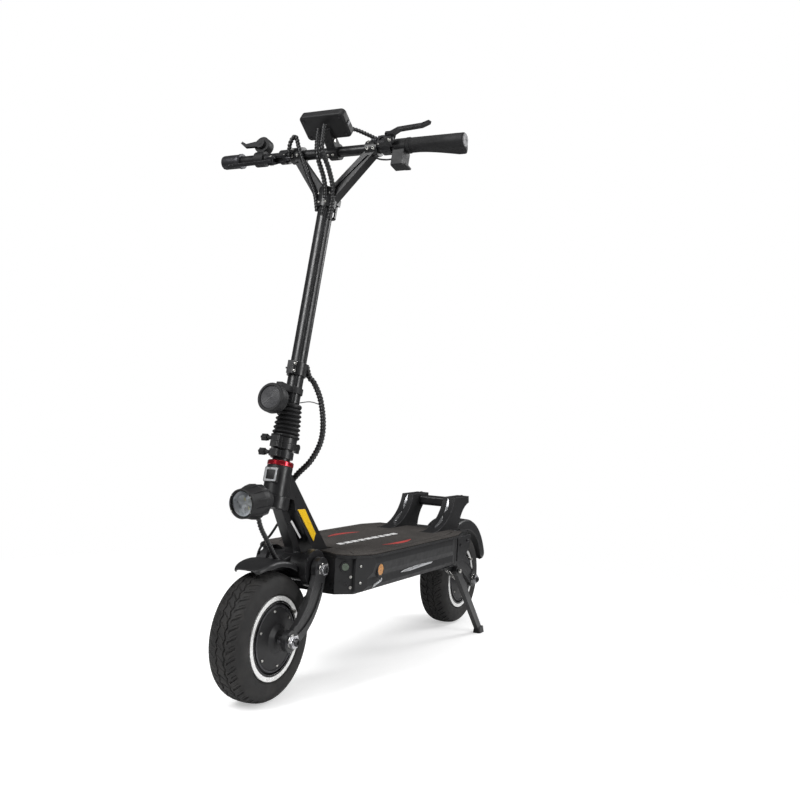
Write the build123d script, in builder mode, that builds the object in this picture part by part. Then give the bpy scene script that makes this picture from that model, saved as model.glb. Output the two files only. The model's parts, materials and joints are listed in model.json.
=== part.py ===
"""Electric kick scooter: two hub-motor wheels on leading and trailing suspension arms, a box deck,
a folding stem with a straight handlebar, a rear footrest and a side kickstand.

X points forward, Y to the rider's left, Z up. Millimetres. The origin is on the ground under the
middle of the deck, halfway between the axles. The steering is straight ahead and the stand is down.
Steering parts are placed by two numbers: a, forward of the steering axis, and d, the distance up it.
"""

from build123d import *
from math import cos, radians, sin
import os

os.makedirs("parts", exist_ok=True)

# Wheels
AXLE_X = 455.0
AXLE_Z = 128.0
TYRE_R = 128.0
TYRE_HALF = 40.0
RIM_R = 83.0
RIM_HALF = 36.0
AXLE_R = 8.0
RUN_GAP = 0.05
ROTOR_R = 80.0
ROTOR_IN = 51.0
ROTOR_OUT = 53.0

# Steering axis
LEAN = 12.6
FOOT_X = 520.0
CROWN_R = 31.0
FORK_ARM_HALF = 11.0
HEAD_R = 26.0
HEAD_LOW = 412.5
HEAD_HIGH = 472.0
CROWN_LOW_D = 388.0
STEERER_D = 483.0
FOLD_D = 519.5
LAMP_LENGTH = 80.0
LENS_R = 24.5
FOLD_A = -36.0
KNOB_A = 31.0
LOWER_KNOB_D = 496.0
UPPER_KNOB_D = 525.0
HORN_D = 598.0
COLLAR_LOW_D = 662.0
COLLAR_HIGH_D = 689.0
BRACE_LOW_D = 1034.0
BRACE_HIGH_D = 1078.0
BRACE_REACH = 95.0
HOOK_PIN = (-27.0, 1059.0)
BAR_D = 1167.0
BAR_R = 11.1
BAR_HALF = 300.0
STEM_R = 16.5
INNER_R = 14.0
STEM_LOW_D = 604.0
STEM_HIGH_D = 1070.0
HORN_R = 28.0

# Suspension
FRONT_PIVOT = (356.0, 256.0)
REAR_PIVOT = (-292.0, 228.0)
PIVOT_R = 9.0
PIVOT_HEAD_R = 12.5
HOUSING_HALF = 58.0
ARM_IN = 62.0
ARM_OUT = 74.0
NUT_OUT = 83.0
FRONT_BOW = -14.0
REAR_BOW = 4.0

# Deck
DECK_LOW = 200.0
TRAY_TOP = 276.0
LID_TOP = 281.0
MAT_TOP = 284.0
TRAY_HALF = 112.0
DECK_HALF = 144.0
MAT_INSET = 4.0
PANEL_IN = 112.2
PANEL_LOW = 206.0
TAIL_LOW = 268.0
DECK_FRONT = 318.0
TRAY_REAR = -250.0
STEER_CLEAR_R = 160.0
TRAY_CORNER = 30.0
REFLECTOR_X = 226.0
SOCKET_Z = 257.0
SOCKET_R = 6.0
SOCKET_BODY_R = 8.5
REFLECTOR_Z = 247.0
REFLECTOR_R = 11.8

# Kickstand
STAND_PIVOT = (-213.0, 188.0)
STAND_FOOT = (-385.0, 6.0)
STAND_Y = 125.0
STAND_PIN_R = 6.0

# Controls on the bar
BRAKE_Y = 130.0
LEFT_TILT = 12.0
RIGHT_TILT = -38.0
THROTTLE_Y = -196.0
THROTTLE_D = BAR_D + 32
POD_Y = 162.0
POD_TOP = BAR_D - 12
POD_LOW = BAR_D - 50
SCREEN_TILT = 38.0

lean = radians(LEAN)
AXIS_DIR = (-sin(lean), 0, cos(lean))
AHEAD_DIR = (cos(lean), 0, sin(lean))
FOOT = (FOOT_X, 0, 0)

# Sketches in ACROSS hold (a, y) and grow up the steering axis, in SIDE they hold (a, d) and grow to
# the right (-Y), and in FACE they hold (y, d) and grow forward.
ACROSS = Plane(origin=FOOT, x_dir=AHEAD_DIR, z_dir=AXIS_DIR)
SIDE = Plane(origin=FOOT, x_dir=AHEAD_DIR, z_dir=(0, -1, 0))
FACE = Plane(origin=FOOT, x_dir=(0, 1, 0), z_dir=AHEAD_DIR)

# The charging socket sits in the cut front left corner of the tray, facing forward and left.
SOCKET_FACE = Plane(
    origin=(DECK_FRONT - TRAY_CORNER / 2, TRAY_HALF - TRAY_CORNER / 2, SOCKET_Z),
    x_dir=(-1, 1, 0),
    z_dir=(1, 1, 0),
)


def save(part, name):
    part.label = name
    export_step(part, f"parts/{name}.step")


def steer_point(a, y, d):
    """The point a forward of the steering axis, y to the left and d up it."""
    return (FOOT_X + a * cos(lean) - d * sin(lean), y, a * sin(lean) + d * cos(lean))


def side_at(y):
    """The X-Z plane at y, growing to the right (-Y)."""
    return Plane.XZ.offset(-y)


def wheel_plane(x):
    """Radius along x, width along y: a section to turn about the axle through (x, AXLE_Z)."""
    return Plane(origin=(x, 0, AXLE_Z), x_dir=(0, 0, 1), z_dir=(1, 0, 0))


# ---------------------------------------------------------------- wheels


def wheel_ring(x, points):
    """A solid of revolution about an axle from (radius, y) points."""
    section = wheel_plane(x)
    with BuildPart() as ring:
        with BuildSketch(section):
            with BuildLine():
                Polyline(*[(r, -y) for r, y in points], close=True)
            make_face()
        revolve(axis=Axis((x, 0, AXLE_Z), (0, 1, 0)))
    return ring.part


def tyre(x):
    """An air-filled tyre: rounded tread, bulging walls and two beads."""
    section = wheel_plane(x)
    bead_r = 74.2
    with BuildPart() as body:
        with BuildSketch(section):
            with BuildLine():
                Polyline((bead_r, -31.6), (bead_r, -24), (85, -24))
                Spline((85, -24), (101, -33), (113, -28), (119.5, 0), (113, 28), (101, 33), (85, 24))
                Polyline((85, 24), (bead_r, 24), (bead_r, 31.6), (83.6, 31.6))
                Spline(
                    (83.6, 31.6),
                    (87.5, 36.5),
                    (103, TYRE_HALF),
                    (118, 34),
                    (126, 20),
                    (TYRE_R, 0),
                    (126, -20),
                    (118, -34),
                    (103, -TYRE_HALF),
                    (87.5, -36.5),
                    (83.6, -31.6),
                )
                Line((83.6, -31.6), (bead_r, -31.6))
            make_face()
        revolve(axis=Axis((x, 0, AXLE_Z), (0, 1, 0)))
    return body.part


def rim(x):
    """The alloy rim: a barrel with a drop centre and two flanges."""
    barrel = 74.0
    inner = 70.0
    return wheel_ring(
        x,
        [
            (inner, -RIM_HALF),
            (RIM_R, -RIM_HALF),
            (RIM_R, -32),
            (barrel, -32),
            (barrel, -20),
            (72.5, -14),
            (72.5, 14),
            (barrel, 20),
            (barrel, 32),
            (RIM_R, 32),
            (RIM_R, RIM_HALF),
            (inner, RIM_HALF),
        ],
    )


def motor_shell(x):
    """The turning half of the hub motor: magnet ring, two domed covers and the rotor boss."""
    bore = AXLE_R + RUN_GAP
    return wheel_ring(
        x,
        [
            (bore, -50.9),
            (24, -50.9),
            (26, -40),
            (60, -36),
            (69.9, -30),
            (69.9, 30),
            (60, 36),
            (30, 40),
            (20, 46),
            (bore, 46),
            (bore, 30),
            (58, 25),
            (58, -25),
            (bore, -30),
        ],
    )


def rotor(x):
    """The brake disc on the right of the wheel, with cooling slots and bolt holes."""
    with BuildPart() as disc:
        with BuildSketch(Plane.XZ.offset(ROTOR_IN)):
            with Locations((x, AXLE_Z)):
                Circle(ROTOR_R)
                Circle(15, mode=Mode.SUBTRACT)
                with PolarLocations(69, 24):
                    Circle(4, mode=Mode.SUBTRACT)
                with PolarLocations(46, 6):
                    Ellipse(17, 10, mode=Mode.SUBTRACT)
        extrude(amount=ROTOR_OUT - ROTOR_IN)
    return disc.part


def motor_core(x):
    """The fixed half of the hub motor: threaded axle and wound stator."""
    with BuildPart() as core:
        with BuildSketch(Plane.XZ):
            with Locations((x, AXLE_Z)):
                Circle(52)
                with PolarLocations(46, 18):
                    Rectangle(12, 3, mode=Mode.SUBTRACT)
        extrude(amount=18, both=True)
        with BuildSketch(Plane.XZ):
            with Locations((x, AXLE_Z)):
                Circle(AXLE_R)
        extrude(amount=NUT_OUT + 3, both=True)
    return core.part


def axle_nuts(x):
    """The two hexagon axle nuts outside the arms."""
    with BuildPart() as nuts:
        for side in (1, -1):
            outer = ARM_OUT if side < 0 else -NUT_OUT
            with BuildSketch(Plane.XZ.offset(outer)):
                with Locations((x, AXLE_Z)):
                    RegularPolygon(14, 6)
                    Circle(AXLE_R, mode=Mode.SUBTRACT)
            extrude(amount=NUT_OUT - ARM_OUT)
    return nuts.part


def pivot_bolt(x, z):
    """The suspension pivot: a through shaft with a hexagon head at each end."""
    with BuildPart() as bolt:
        with BuildSketch(Plane.XZ):
            with Locations((x, z)):
                Circle(PIVOT_R)
        extrude(amount=ARM_OUT, both=True)
        for start in (ARM_OUT, -NUT_OUT):
            with BuildSketch(Plane.XZ.offset(start)):
                with Locations((x, z)):
                    RegularPolygon(PIVOT_HEAD_R, 6)
            extrude(amount=NUT_OUT - ARM_OUT)
    return bolt.part


def suspension_arm(left, pivot, axle_x, bow):
    """A bent arm from the pivot to the axle with a channel pressed in its outer face.
    bow is how far its middle bulges upward."""
    x0, z0 = pivot
    mid_x = (x0 + axle_x) / 2
    mid_z = (z0 + AXLE_Z) / 2
    lift = 1 if axle_x > x0 else -1
    start = ARM_OUT if left else -ARM_IN
    with BuildPart() as arm:
        with BuildSketch(side_at(start)):
            with BuildLine():
                ThreePointArc(
                    (x0 + lift * 16, z0 + 17),
                    (mid_x + lift * (bow + 14), mid_z + bow + 12),
                    (axle_x + lift * 20, AXLE_Z + 6),
                )
                Line((axle_x + lift * 20, AXLE_Z + 6), (axle_x - lift * 14, AXLE_Z - 12))
                ThreePointArc(
                    (axle_x - lift * 14, AXLE_Z - 12),
                    (mid_x + lift * (bow - 16), mid_z + bow - 16),
                    (x0 - lift * 14, z0 - 17),
                )
                Line((x0 - lift * 14, z0 - 17), (x0 + lift * 16, z0 + 17))
            make_face()
            with Locations((x0, z0)):
                Circle(24)
                Circle(PIVOT_R, mode=Mode.SUBTRACT)
            with Locations((axle_x, AXLE_Z)):
                Circle(21)
                Circle(AXLE_R, mode=Mode.SUBTRACT)
        extrude(amount=ARM_OUT - ARM_IN)
        channel_depth = 2.5
        with BuildSketch(side_at(ARM_OUT if left else channel_depth - ARM_OUT)):
            with BuildLine():
                ThreePointArc(
                    (x0 + lift * 14, z0 - 26),
                    (mid_x + lift * (bow + 6), mid_z + bow + 5),
                    (axle_x - lift * 4, AXLE_Z + 24),
                )
                Line((axle_x - lift * 4, AXLE_Z + 24), (axle_x - lift * 22, AXLE_Z + 10))
                ThreePointArc(
                    (axle_x - lift * 22, AXLE_Z + 10),
                    (mid_x + lift * (bow - 9), mid_z + bow - 9),
                    (x0 - lift * 6, z0 - 28),
                )
                Line((x0 - lift * 6, z0 - 28), (x0 + lift * 14, z0 - 26))
            make_face()
        extrude(amount=channel_depth, mode=Mode.SUBTRACT)
    return arm.part


def caliper(axle_x, angle):
    """The brake caliper on the right arm: a block with a slot over the disc."""
    centre = Location((axle_x, 0, AXLE_Z)) * Location((0, 0, 0), (0, -angle, 0))
    mid = (ROTOR_IN + ROTOR_OUT) / 2
    with BuildPart() as block:
        with Locations(centre * Location((76, -mid - 0.5, 0))):
            Box(28, 19, 44)
        fillet(block.edges().filter_by(Axis.Y), 4)
        with Locations(centre * Location((70, -mid, 0))):
            Box(27, 5, 60, mode=Mode.SUBTRACT)
        with Locations(centre * Location((94, -mid - 5, 0))):
            Box(12, 10, 22)
    return block.part


for name, x in (("front", AXLE_X), ("rear", -AXLE_X)):
    save(tyre(x), f"{name}_tyre")
    save(rim(x), f"{name}_rim")
    save(motor_shell(x), f"{name}_motor_shell")
    save(rotor(x), f"{name}_brake_disc")
    save(motor_core(x), f"{name}_motor_core")
    save(axle_nuts(x), f"{name}_axle_nuts")

save(pivot_bolt(*FRONT_PIVOT), "front_pivot_bolt")
save(pivot_bolt(*REAR_PIVOT), "rear_pivot_bolt")
save(suspension_arm(True, FRONT_PIVOT, AXLE_X, FRONT_BOW), "front_arm_left")
save(suspension_arm(False, FRONT_PIVOT, AXLE_X, FRONT_BOW), "front_arm_right")
save(suspension_arm(True, REAR_PIVOT, -AXLE_X, REAR_BOW), "rear_arm_left")
save(suspension_arm(False, REAR_PIVOT, -AXLE_X, REAR_BOW), "rear_arm_right")
save(caliper(AXLE_X, 128), "front_caliper")
save(caliper(-AXLE_X, 62), "rear_caliper")


# ---------------------------------------------------------------- deck


def deck_outline(half, front, rear):
    """Corners of the deck plan: widest behind the front corners, narrowing to the tail."""
    right_side = [
        (rear, -half + 20),
        (rear + 70, -half),
        (front - 84, -half),
        (front - 48, 5 - half),
        (front - 20, 21 - half),
        (front - 5, 42 - half),
        (front, 64 - half),
    ]
    return right_side + [(x, -y) for x, y in reversed(right_side)]


with BuildPart() as steering_room:
    # Swept by the suspension housing when the bars turn
    with BuildSketch(ACROSS.offset(150)):
        Circle(STEER_CLEAR_R)
    extrude(amount=300)

with BuildPart() as chassis:
    # Folded tray, open on top, with the tail and the rear pivot housing welded on
    wall = 4.0
    with BuildSketch(Plane.XY.offset(DECK_LOW)):
        with Locations(((DECK_FRONT + TRAY_REAR) / 2, 0)):
            RectangleRounded(DECK_FRONT - TRAY_REAR, 2 * TRAY_HALF, 12)
    extrude(amount=TRAY_TOP - DECK_LOW)
    for side in (1, -1):
        with BuildSketch(Plane.XY.offset(DECK_LOW)):
            with BuildLine():
                Polyline(
                    (DECK_FRONT + 1, side * (TRAY_HALF - TRAY_CORNER - 1)),
                    (DECK_FRONT + 1, side * (TRAY_HALF + 1)),
                    (DECK_FRONT - TRAY_CORNER - 1, side * (TRAY_HALF + 1)),
                    close=True,
                )
            make_face()
        extrude(amount=TRAY_TOP - DECK_LOW, mode=Mode.SUBTRACT)
    add(steering_room.part, mode=Mode.SUBTRACT)
    with BuildSketch(Plane.XY.offset(DECK_LOW + wall)):
        with Locations(((250 + TRAY_REAR) / 2, 0)):
            RectangleRounded(250 - TRAY_REAR - 2 * wall, 2 * (TRAY_HALF - wall), 8)
    extrude(amount=TRAY_TOP - DECK_LOW, mode=Mode.SUBTRACT)
    for side in (1, -1):
        # Front pockets on each side of the neck
        with BuildSketch(Plane.XY.offset(DECK_LOW + wall)):
            with Locations((275, side * 86)):
                Rectangle(42, 20)
        extrude(amount=TRAY_TOP - DECK_LOW - 8, mode=Mode.SUBTRACT)
    # Tail plate over the rear arms
    with BuildSketch(Plane.XY.offset(TAIL_LOW)):
        with BuildLine():
            Polyline(
                (TRAY_REAR, -112), (-320, -104), (-330, -50), (-318, -44), (-318, 44),
                (-330, 50), (-320, 104), (TRAY_REAR, 112), close=True,
            )
        make_face()
    extrude(amount=LID_TOP - TAIL_LOW)
    for start in (-84, 112):
        # Cast cheeks outside the arms
        with BuildSketch(side_at(start)):
            with BuildLine():
                Polyline(
                    (TRAY_REAR + 2, TAIL_LOW), (TRAY_REAR + 2, PANEL_LOW), (-286, PANEL_LOW), (-322, 232),
                    (-330, TAIL_LOW), close=True,
                )
            make_face()
        extrude(amount=28)
    with BuildSketch(Plane.XZ):
        with Locations(REAR_PIVOT):
            Circle(36)
        with BuildLine():
            Polyline(
                (-292, 192), (TRAY_REAR + 2, 204), (TRAY_REAR + 2, TAIL_LOW), (-292, TAIL_LOW), close=True
            )
        make_face()
    extrude(amount=HOUSING_HALF, both=True)
    with BuildSketch(Plane.XZ):
        with Locations(REAR_PIVOT):
            Circle(PIVOT_R + RUN_GAP)
    extrude(amount=HOUSING_HALF, both=True, mode=Mode.SUBTRACT)
    # Kickstand bracket under the left side, with its pivot pin
    x, z = STAND_PIVOT
    with BuildSketch(Plane.XY.offset(DECK_LOW - 6)):
        with Locations((-190, 98)):
            RectangleRounded(84, 28, 5)
    extrude(amount=6)
    with BuildSketch(side_at(118)):
        with BuildLine():
            Polyline((x - 14, 200), (x - 14, 180), (x + 10, 174), (-160, 200), close=True)
        make_face()
    extrude(amount=6)
    with BuildSketch(side_at(134)):
        with Locations(STAND_PIVOT):
            Circle(STAND_PIN_R)
    extrude(amount=16)
    # Hole for the charging socket
    with BuildSketch(SOCKET_FACE.offset(-20)):
        Circle(SOCKET_BODY_R)
    extrude(amount=24, mode=Mode.SUBTRACT)
save(chassis.part, "chassis_tray")

lid_screws = ((-180, 96), (40, 104), (230, 104))

with BuildPart() as lid:
    # Plate over the tray, wider than it, with the notch for the neck
    with BuildSketch(Plane.XY.offset(TRAY_TOP)):
        with BuildLine():
            Polyline(*deck_outline(DECK_HALF, DECK_FRONT, TRAY_REAR), close=True)
        make_face()
        with Locations((290, 0)):
            Rectangle(84, 53, mode=Mode.SUBTRACT)
    extrude(amount=LID_TOP - TRAY_TOP)
    add(steering_room.part, mode=Mode.SUBTRACT)
    with BuildSketch(Plane.XY.offset(TRAY_TOP)):
        # Room for the tail plate and its cheeks
        with Locations((-290, 0)):
            Rectangle(80, 300)
    extrude(amount=10, mode=Mode.SUBTRACT)
    with Locations(*[(x, side * y, LID_TOP) for side in (1, -1) for x, y in lid_screws]):
        CounterSinkHole(2.2, 4.4)
save(lid.part, "deck_lid")

with BuildPart() as mat:
    # Grip mat glued on the lid, cut out round the neck and the footrest
    with BuildSketch(Plane.XY.offset(LID_TOP)):
        with BuildLine():
            Polyline(
                *deck_outline(DECK_HALF - MAT_INSET, DECK_FRONT - MAT_INSET + 1, TRAY_REAR + 2), close=True
            )
        make_face()
        with Locations((287, 0)):
            Rectangle(92, 58, mode=Mode.SUBTRACT)
        with Locations((-210, 61), (-210, -61)):
            Rectangle(116, 40, mode=Mode.SUBTRACT)
    extrude(amount=MAT_TOP - LID_TOP)
    add(steering_room.part, mode=Mode.SUBTRACT)
save(mat.part, "deck_mat")

with BuildPart() as side_panels:
    # Sculpted mouldings along both sides of the tray, flaring up to the lid, with tapered ends
    for out in (1, -1):
        with BuildSketch(Plane.YZ.offset(-228)):
            with BuildLine():
                Polyline(
                    (out * PANEL_IN, PANEL_LOW),
                    (out * 126, PANEL_LOW),
                    (out * 133, 216),
                    (out * 131.5, 232),
                    (out * 138, 244),
                    (out * 141, 262),
                    (out * 139, TRAY_TOP - 0.2),
                    (out * PANEL_IN, TRAY_TOP - 0.2),
                    close=True,
                )
            make_face()
        extrude(amount=522)
        with BuildSketch(Plane.XY.offset(200)):
            with BuildLine():
                Polyline(
                    (-229, out * 114), (-229, out * 150), (-122, out * 150), (-222, out * 114), close=True
                )
            make_face()
            with BuildLine():
                Polyline((296, out * 116), (296, out * 150), (236, out * 150), close=True)
            make_face()
        extrude(amount=80, mode=Mode.SUBTRACT)
        with Locations(Location((REFLECTOR_X, out * 138, REFLECTOR_Z), (90, 0, 0))):
            Cylinder(REFLECTOR_R + 0.2, 8, mode=Mode.SUBTRACT)
save(side_panels.part, "side_panels")

with BuildPart() as reflectors:
    # Round ones in the side panels, long ones stuck on the neck
    with Locations(*[Location((REFLECTOR_X, y, REFLECTOR_Z), (90, 0, 0)) for y in (137.4, -137.4)]):
        Cylinder(REFLECTOR_R, 6)
    for start in (26.6, -25):
        with BuildSketch(side_at(start)):
            with BuildLine():
                Polyline((384, 375), (357, 374), (311, 320), (318, 304), close=True)
            make_face()
        extrude(amount=1.6)
save(reflectors.part, "reflectors")

with BuildPart() as neck:
    # Welded gusset from the tray to the head tube
    half = 25.0
    bore_r = 20.0
    with BuildSketch(Plane.XZ):
        with BuildLine():
            Polyline(
                (252, TRAY_TOP),
                (308, TRAY_TOP),
                (325, 297),
                (390, 374),
                steer_point(-34, 0, HEAD_LOW)[::2],
                steer_point(-10, 0, HEAD_LOW)[::2],
                steer_point(-10, 0, HEAD_HIGH - 12)[::2],
                (386, 421),
                close=True,
            )
        make_face()
    extrude(amount=half, both=True)
    with BuildSketch(ACROSS.offset(HEAD_LOW)):
        Circle(HEAD_R)
    extrude(amount=HEAD_HIGH - HEAD_LOW)
    with BuildSketch(ACROSS.offset(HEAD_LOW)):
        Circle(bore_r)
    extrude(amount=HEAD_HIGH - HEAD_LOW, mode=Mode.SUBTRACT)
save(neck.part, "steering_neck")

with BuildPart() as headset_bearings:
    for low in (HEAD_LOW, HEAD_HIGH - 10):
        with BuildSketch(ACROSS.offset(low)):
            Circle(bore_r)
            Circle(INNER_R + 0.5 + RUN_GAP, mode=Mode.SUBTRACT)
        extrude(amount=10)
save(headset_bearings.part, "headset_bearings")

with BuildPart() as battery:
    # Cell pack that fills the tray
    with Locations((-40, 0, 206)):
        Box(360, 190, 60, align=(Align.CENTER, Align.CENTER, Align.MIN))
    fillet(battery.edges().filter_by(Axis.Z), 8)
save(battery.part, "battery_pack")

with BuildPart() as controllers:
    with Locations((192, 50, 206), (192, -50, 206)):
        Box(86, 84, 36, align=(Align.CENTER, Align.CENTER, Align.MIN))
    # Cooling fins
    with Locations(*[(192, side * (14 + 12 * n), 240) for side in (1, -1) for n in range(7)]):
        Box(86, 4, 12, align=(Align.CENTER, Align.CENTER, Align.MIN))
save(controllers.part, "motor_controllers")

with BuildPart() as charge_port:
    with BuildSketch(SOCKET_FACE):
        Circle(SOCKET_BODY_R + 2)
    extrude(amount=3)
    with BuildSketch(SOCKET_FACE.offset(-15)):
        Circle(SOCKET_BODY_R)
    extrude(amount=15)
    with BuildSketch(SOCKET_FACE.offset(-9)):
        Circle(SOCKET_R)
    extrude(amount=12, mode=Mode.SUBTRACT)
save(charge_port.part, "charge_port")

with BuildPart() as uprights:
    # Swept footrest uprights: a concave front face, a flat top and an overhanging back
    for start in (78, -44):
        with BuildSketch(side_at(start)):
            with BuildLine():
                Spline((-158, 283), (-208, 290), (-252, 312), (-279, 340), (-290, 364))
                Polyline((-290, 364), (-384, 364), (-387, 346))
                Spline((-387, 346), (-357, 334), (-334, 310), (-324, LID_TOP))
                Polyline((-324, LID_TOP), (-158, LID_TOP), (-158, 283))
            make_face()
        extrude(amount=34)
save(uprights.part, "footrest_uprights")

with BuildPart() as footrest_bar:
    with BuildSketch(Plane.XZ):
        with Locations((-338, 347)):
            RectangleRounded(21, 27, 8)
    extrude(amount=44, both=True)
save(footrest_bar.part, "footrest_bar")

with BuildPart() as kickstand:
    foot_x, foot_low = STAND_FOOT
    with BuildSketch(side_at(STAND_Y + 6)):
        with BuildLine():
            Polyline(
                (x + 7, z - 8), (x - 9, z + 7), (foot_x - 8, foot_low + 6), (foot_x + 12, foot_low),
                close=True,
            )
        make_face()
        with Locations(STAND_PIVOT):
            Circle(12)
    extrude(amount=12)
    with BuildSketch(Plane.XY):
        with Locations((foot_x, STAND_Y)):
            RectangleRounded(34, 22, 6)
    extrude(amount=16, taper=10)
    with BuildSketch(side_at(STAND_Y + 10)):
        with Locations(STAND_PIVOT):
            Circle(STAND_PIN_R + RUN_GAP)
    extrude(amount=20, mode=Mode.SUBTRACT)
save(kickstand.part, "kickstand_leg")

# ---------------------------------------------------------------- fork

with BuildPart() as fork:
    # Steerer tube, crown, raked arm and the suspension housing in one weldment
    with BuildSketch(ACROSS.offset(CROWN_LOW_D)):
        Circle(CROWN_R)
    extrude(amount=HEAD_LOW - 1 - CROWN_LOW_D)
    with BuildSketch(ACROSS.offset(400)):
        Circle(INNER_R + 0.5)
    extrude(amount=STEERER_D + 1 - 400)
    with BuildSketch(ACROSS.offset(STEERER_D)):
        Circle(18)
    extrude(amount=FOLD_D - STEERER_D - 12)
    with BuildSketch(SIDE):
        with BuildLine():
            Polyline(
                (20, 411), (-20, 411), (-28, 400), (-118, 312), (-104, 286), (-94, 288), (-82, 320),
                (-16, CROWN_LOW_D), (20, CROWN_LOW_D), close=True,
            )
        make_face()
    extrude(amount=FORK_ARM_HALF, both=True)
    with BuildSketch(Plane.XZ):
        with Locations(FRONT_PIVOT):
            Circle(29)
    extrude(amount=HOUSING_HALF, both=True)
    for start in (HOUSING_HALF, -43):
        # Wider ends beside the tyre
        with BuildSketch(side_at(start)):
            with Locations(FRONT_PIVOT):
                Circle(38)
        extrude(amount=HOUSING_HALF - 43)
    with BuildSketch(Plane.XZ):
        with Locations(FRONT_PIVOT):
            Circle(PIVOT_R + RUN_GAP)
    extrude(amount=HOUSING_HALF, both=True, mode=Mode.SUBTRACT)
save(fork.part, "fork")

with BuildPart() as headset_ring:
    with BuildSketch(ACROSS.offset(HEAD_HIGH + 0.6)):
        Circle(26.5)
        Circle(INNER_R + 0.5, mode=Mode.SUBTRACT)
    extrude(amount=STEERER_D - HEAD_HIGH - 0.6)
    chamfer(headset_ring.edges().filter_by(GeomType.CIRCLE).group_by(SortBy.RADIUS)[-1], 1.5)
save(headset_ring.part, "headset_ring")


def pinch_clamp(low, high, bore, outer, lug_a):
    """A collar up the steering axis with a front ear for its clamp bolt and a hinge lug behind."""
    with BuildPart() as clamp:
        with BuildSketch(ACROSS.offset(low)):
            Circle(outer)
            with Locations((outer + 3, 0)):
                RectangleRounded(18, 20, 3)
            if lug_a:
                with Locations((lug_a / 2 - 10, 0)):
                    Rectangle(-lug_a / 2 + 4, 24)
            Circle(bore, mode=Mode.SUBTRACT)
        extrude(amount=high - low)
    return clamp.part


with BuildPart() as fold_base:
    # Lower hinge plate on the steerer with the pin the stem folds on
    add(pinch_clamp(489, 503, 18, 23, 0))
    add(pinch_clamp(FOLD_D - 12, FOLD_D - 0.6, 0.001, 25, FOLD_A))
    with BuildSketch(ACROSS.offset(503)):
        Circle(19)
        Circle(18, mode=Mode.SUBTRACT)
    extrude(amount=FOLD_D - 12 - 503)
    with BuildSketch(SIDE):
        with Locations((FOLD_A - 2, FOLD_D)):
            Rectangle(18, 30)
    extrude(amount=6.4, both=True, mode=Mode.SUBTRACT)
    for y in (12, -6.4):
        with BuildSketch(SIDE.offset(-y)):
            with Locations((FOLD_A, FOLD_D)):
                Circle(7)
            with Locations((FOLD_A, FOLD_D - 7)):
                Rectangle(10, 10)
        extrude(amount=5.6)
    with BuildSketch(SIDE.offset(-12)):
        with Locations((FOLD_A, FOLD_D)):
            Circle(3)
    extrude(amount=24)
save(fold_base.part, "fold_base")

with BuildPart() as headlight_housing:
    # Barrel-shaped lamp body on the crown, dipped a little, with a recess for the lens
    lamp_axis = Plane(origin=steer_point(28, 0, 402), x_dir=(0, 1, 0), z_dir=(1, 0, -0.06))
    for start, low_r, stop, high_r in ((0, 19, 26, 31), (26, 31, 44, 33), (44, 33, LAMP_LENGTH, 28)):
        with BuildSketch(lamp_axis.offset(start)):
            Circle(low_r)
        with BuildSketch(lamp_axis.offset(stop)):
            Circle(high_r)
        loft()
    with BuildSketch(lamp_axis.offset(40)):
        Circle(LENS_R + 0.1)
    extrude(amount=LAMP_LENGTH - 40, mode=Mode.SUBTRACT)
    with BuildSketch(ACROSS.offset(380)):
        Circle(CROWN_R)
    extrude(amount=60, mode=Mode.SUBTRACT)
save(headlight_housing.part, "headlight_housing")

with BuildPart() as headlight_lens:
    with BuildSketch(lamp_axis.offset(LAMP_LENGTH - 9)):
        Circle(LENS_R)
    extrude(amount=6)
    fillet(headlight_lens.edges().filter_by(GeomType.CIRCLE).sort_by(Axis.X)[-1], 3)
save(headlight_lens.part, "headlight_lens")


def fender(x, low_angle, high_angle, half, inner, skirt):
    """A thin arc over the tyre, concentric with the axle, with side walls down to radius skirt."""
    outer = inner + 3
    with BuildPart() as shield:
        for radius, start, width in ((inner, half, 2 * half), (skirt, half, 3), (skirt, 3 - half, 3)):
            with BuildSketch(side_at(start)):
                with BuildLine():
                    CenterArc((x, AXLE_Z), outer, low_angle, high_angle - low_angle)
                    CenterArc((x, AXLE_Z), radius, low_angle, high_angle - low_angle)
                    for angle in (low_angle, high_angle):
                        c = cos(radians(angle))
                        s = sin(radians(angle))
                        Line(
                            (x + radius * c, AXLE_Z + radius * s), (x + outer * c, AXLE_Z + outer * s)
                        )
                make_face()
            extrude(amount=width)
    return shield.part


with BuildPart() as front_fender:
    # Arc over the front tyre on a bracket from the suspension housing
    bracket_half = 10.0
    add(fender(AXLE_X, 70, 122, 38, 148, 139))
    with BuildSketch(side_at(bracket_half)):
        with BuildLine():
            Polyline((418, 272.5), (396, 265), (366, 262), (350, 285), (396, 274), (418, 276), close=True)
        make_face()
    extrude(amount=2 * bracket_half)
    add(fork.part, mode=Mode.SUBTRACT)
save(front_fender.part, "front_fender")

with BuildPart() as rear_fender:
    # Arc over the rear tyre with a bracket down each arm
    add(fender(-AXLE_X, 50, 168, 44, 160, 134))
    for start in (ARM_IN, -41):
        with BuildSketch(side_at(start)):
            with BuildLine():
                Polyline((-356, 246), (-372, 254), (-378, 176), (-362, 176), close=True)
            make_face()
        extrude(amount=ARM_IN - 41)
save(rear_fender.part, "rear_fender")


def knob(d):
    """A lobed clamp knob on the right end of the bolt through the front ear at height d."""
    with BuildPart() as grip:
        with BuildSketch(SIDE.offset(20)):
            with Locations((KNOB_A, d)):
                Circle(6)
                with PolarLocations(5, 5):
                    Circle(2.5)
        extrude(amount=13)
        with BuildSketch(SIDE.offset(10.2)):
            with Locations((KNOB_A, d)):
                Circle(4)
        extrude(amount=10)
    return grip.part


save(knob(LOWER_KNOB_D), "clamp_knob_lower")

# ---------------------------------------------------------------- stem

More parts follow.
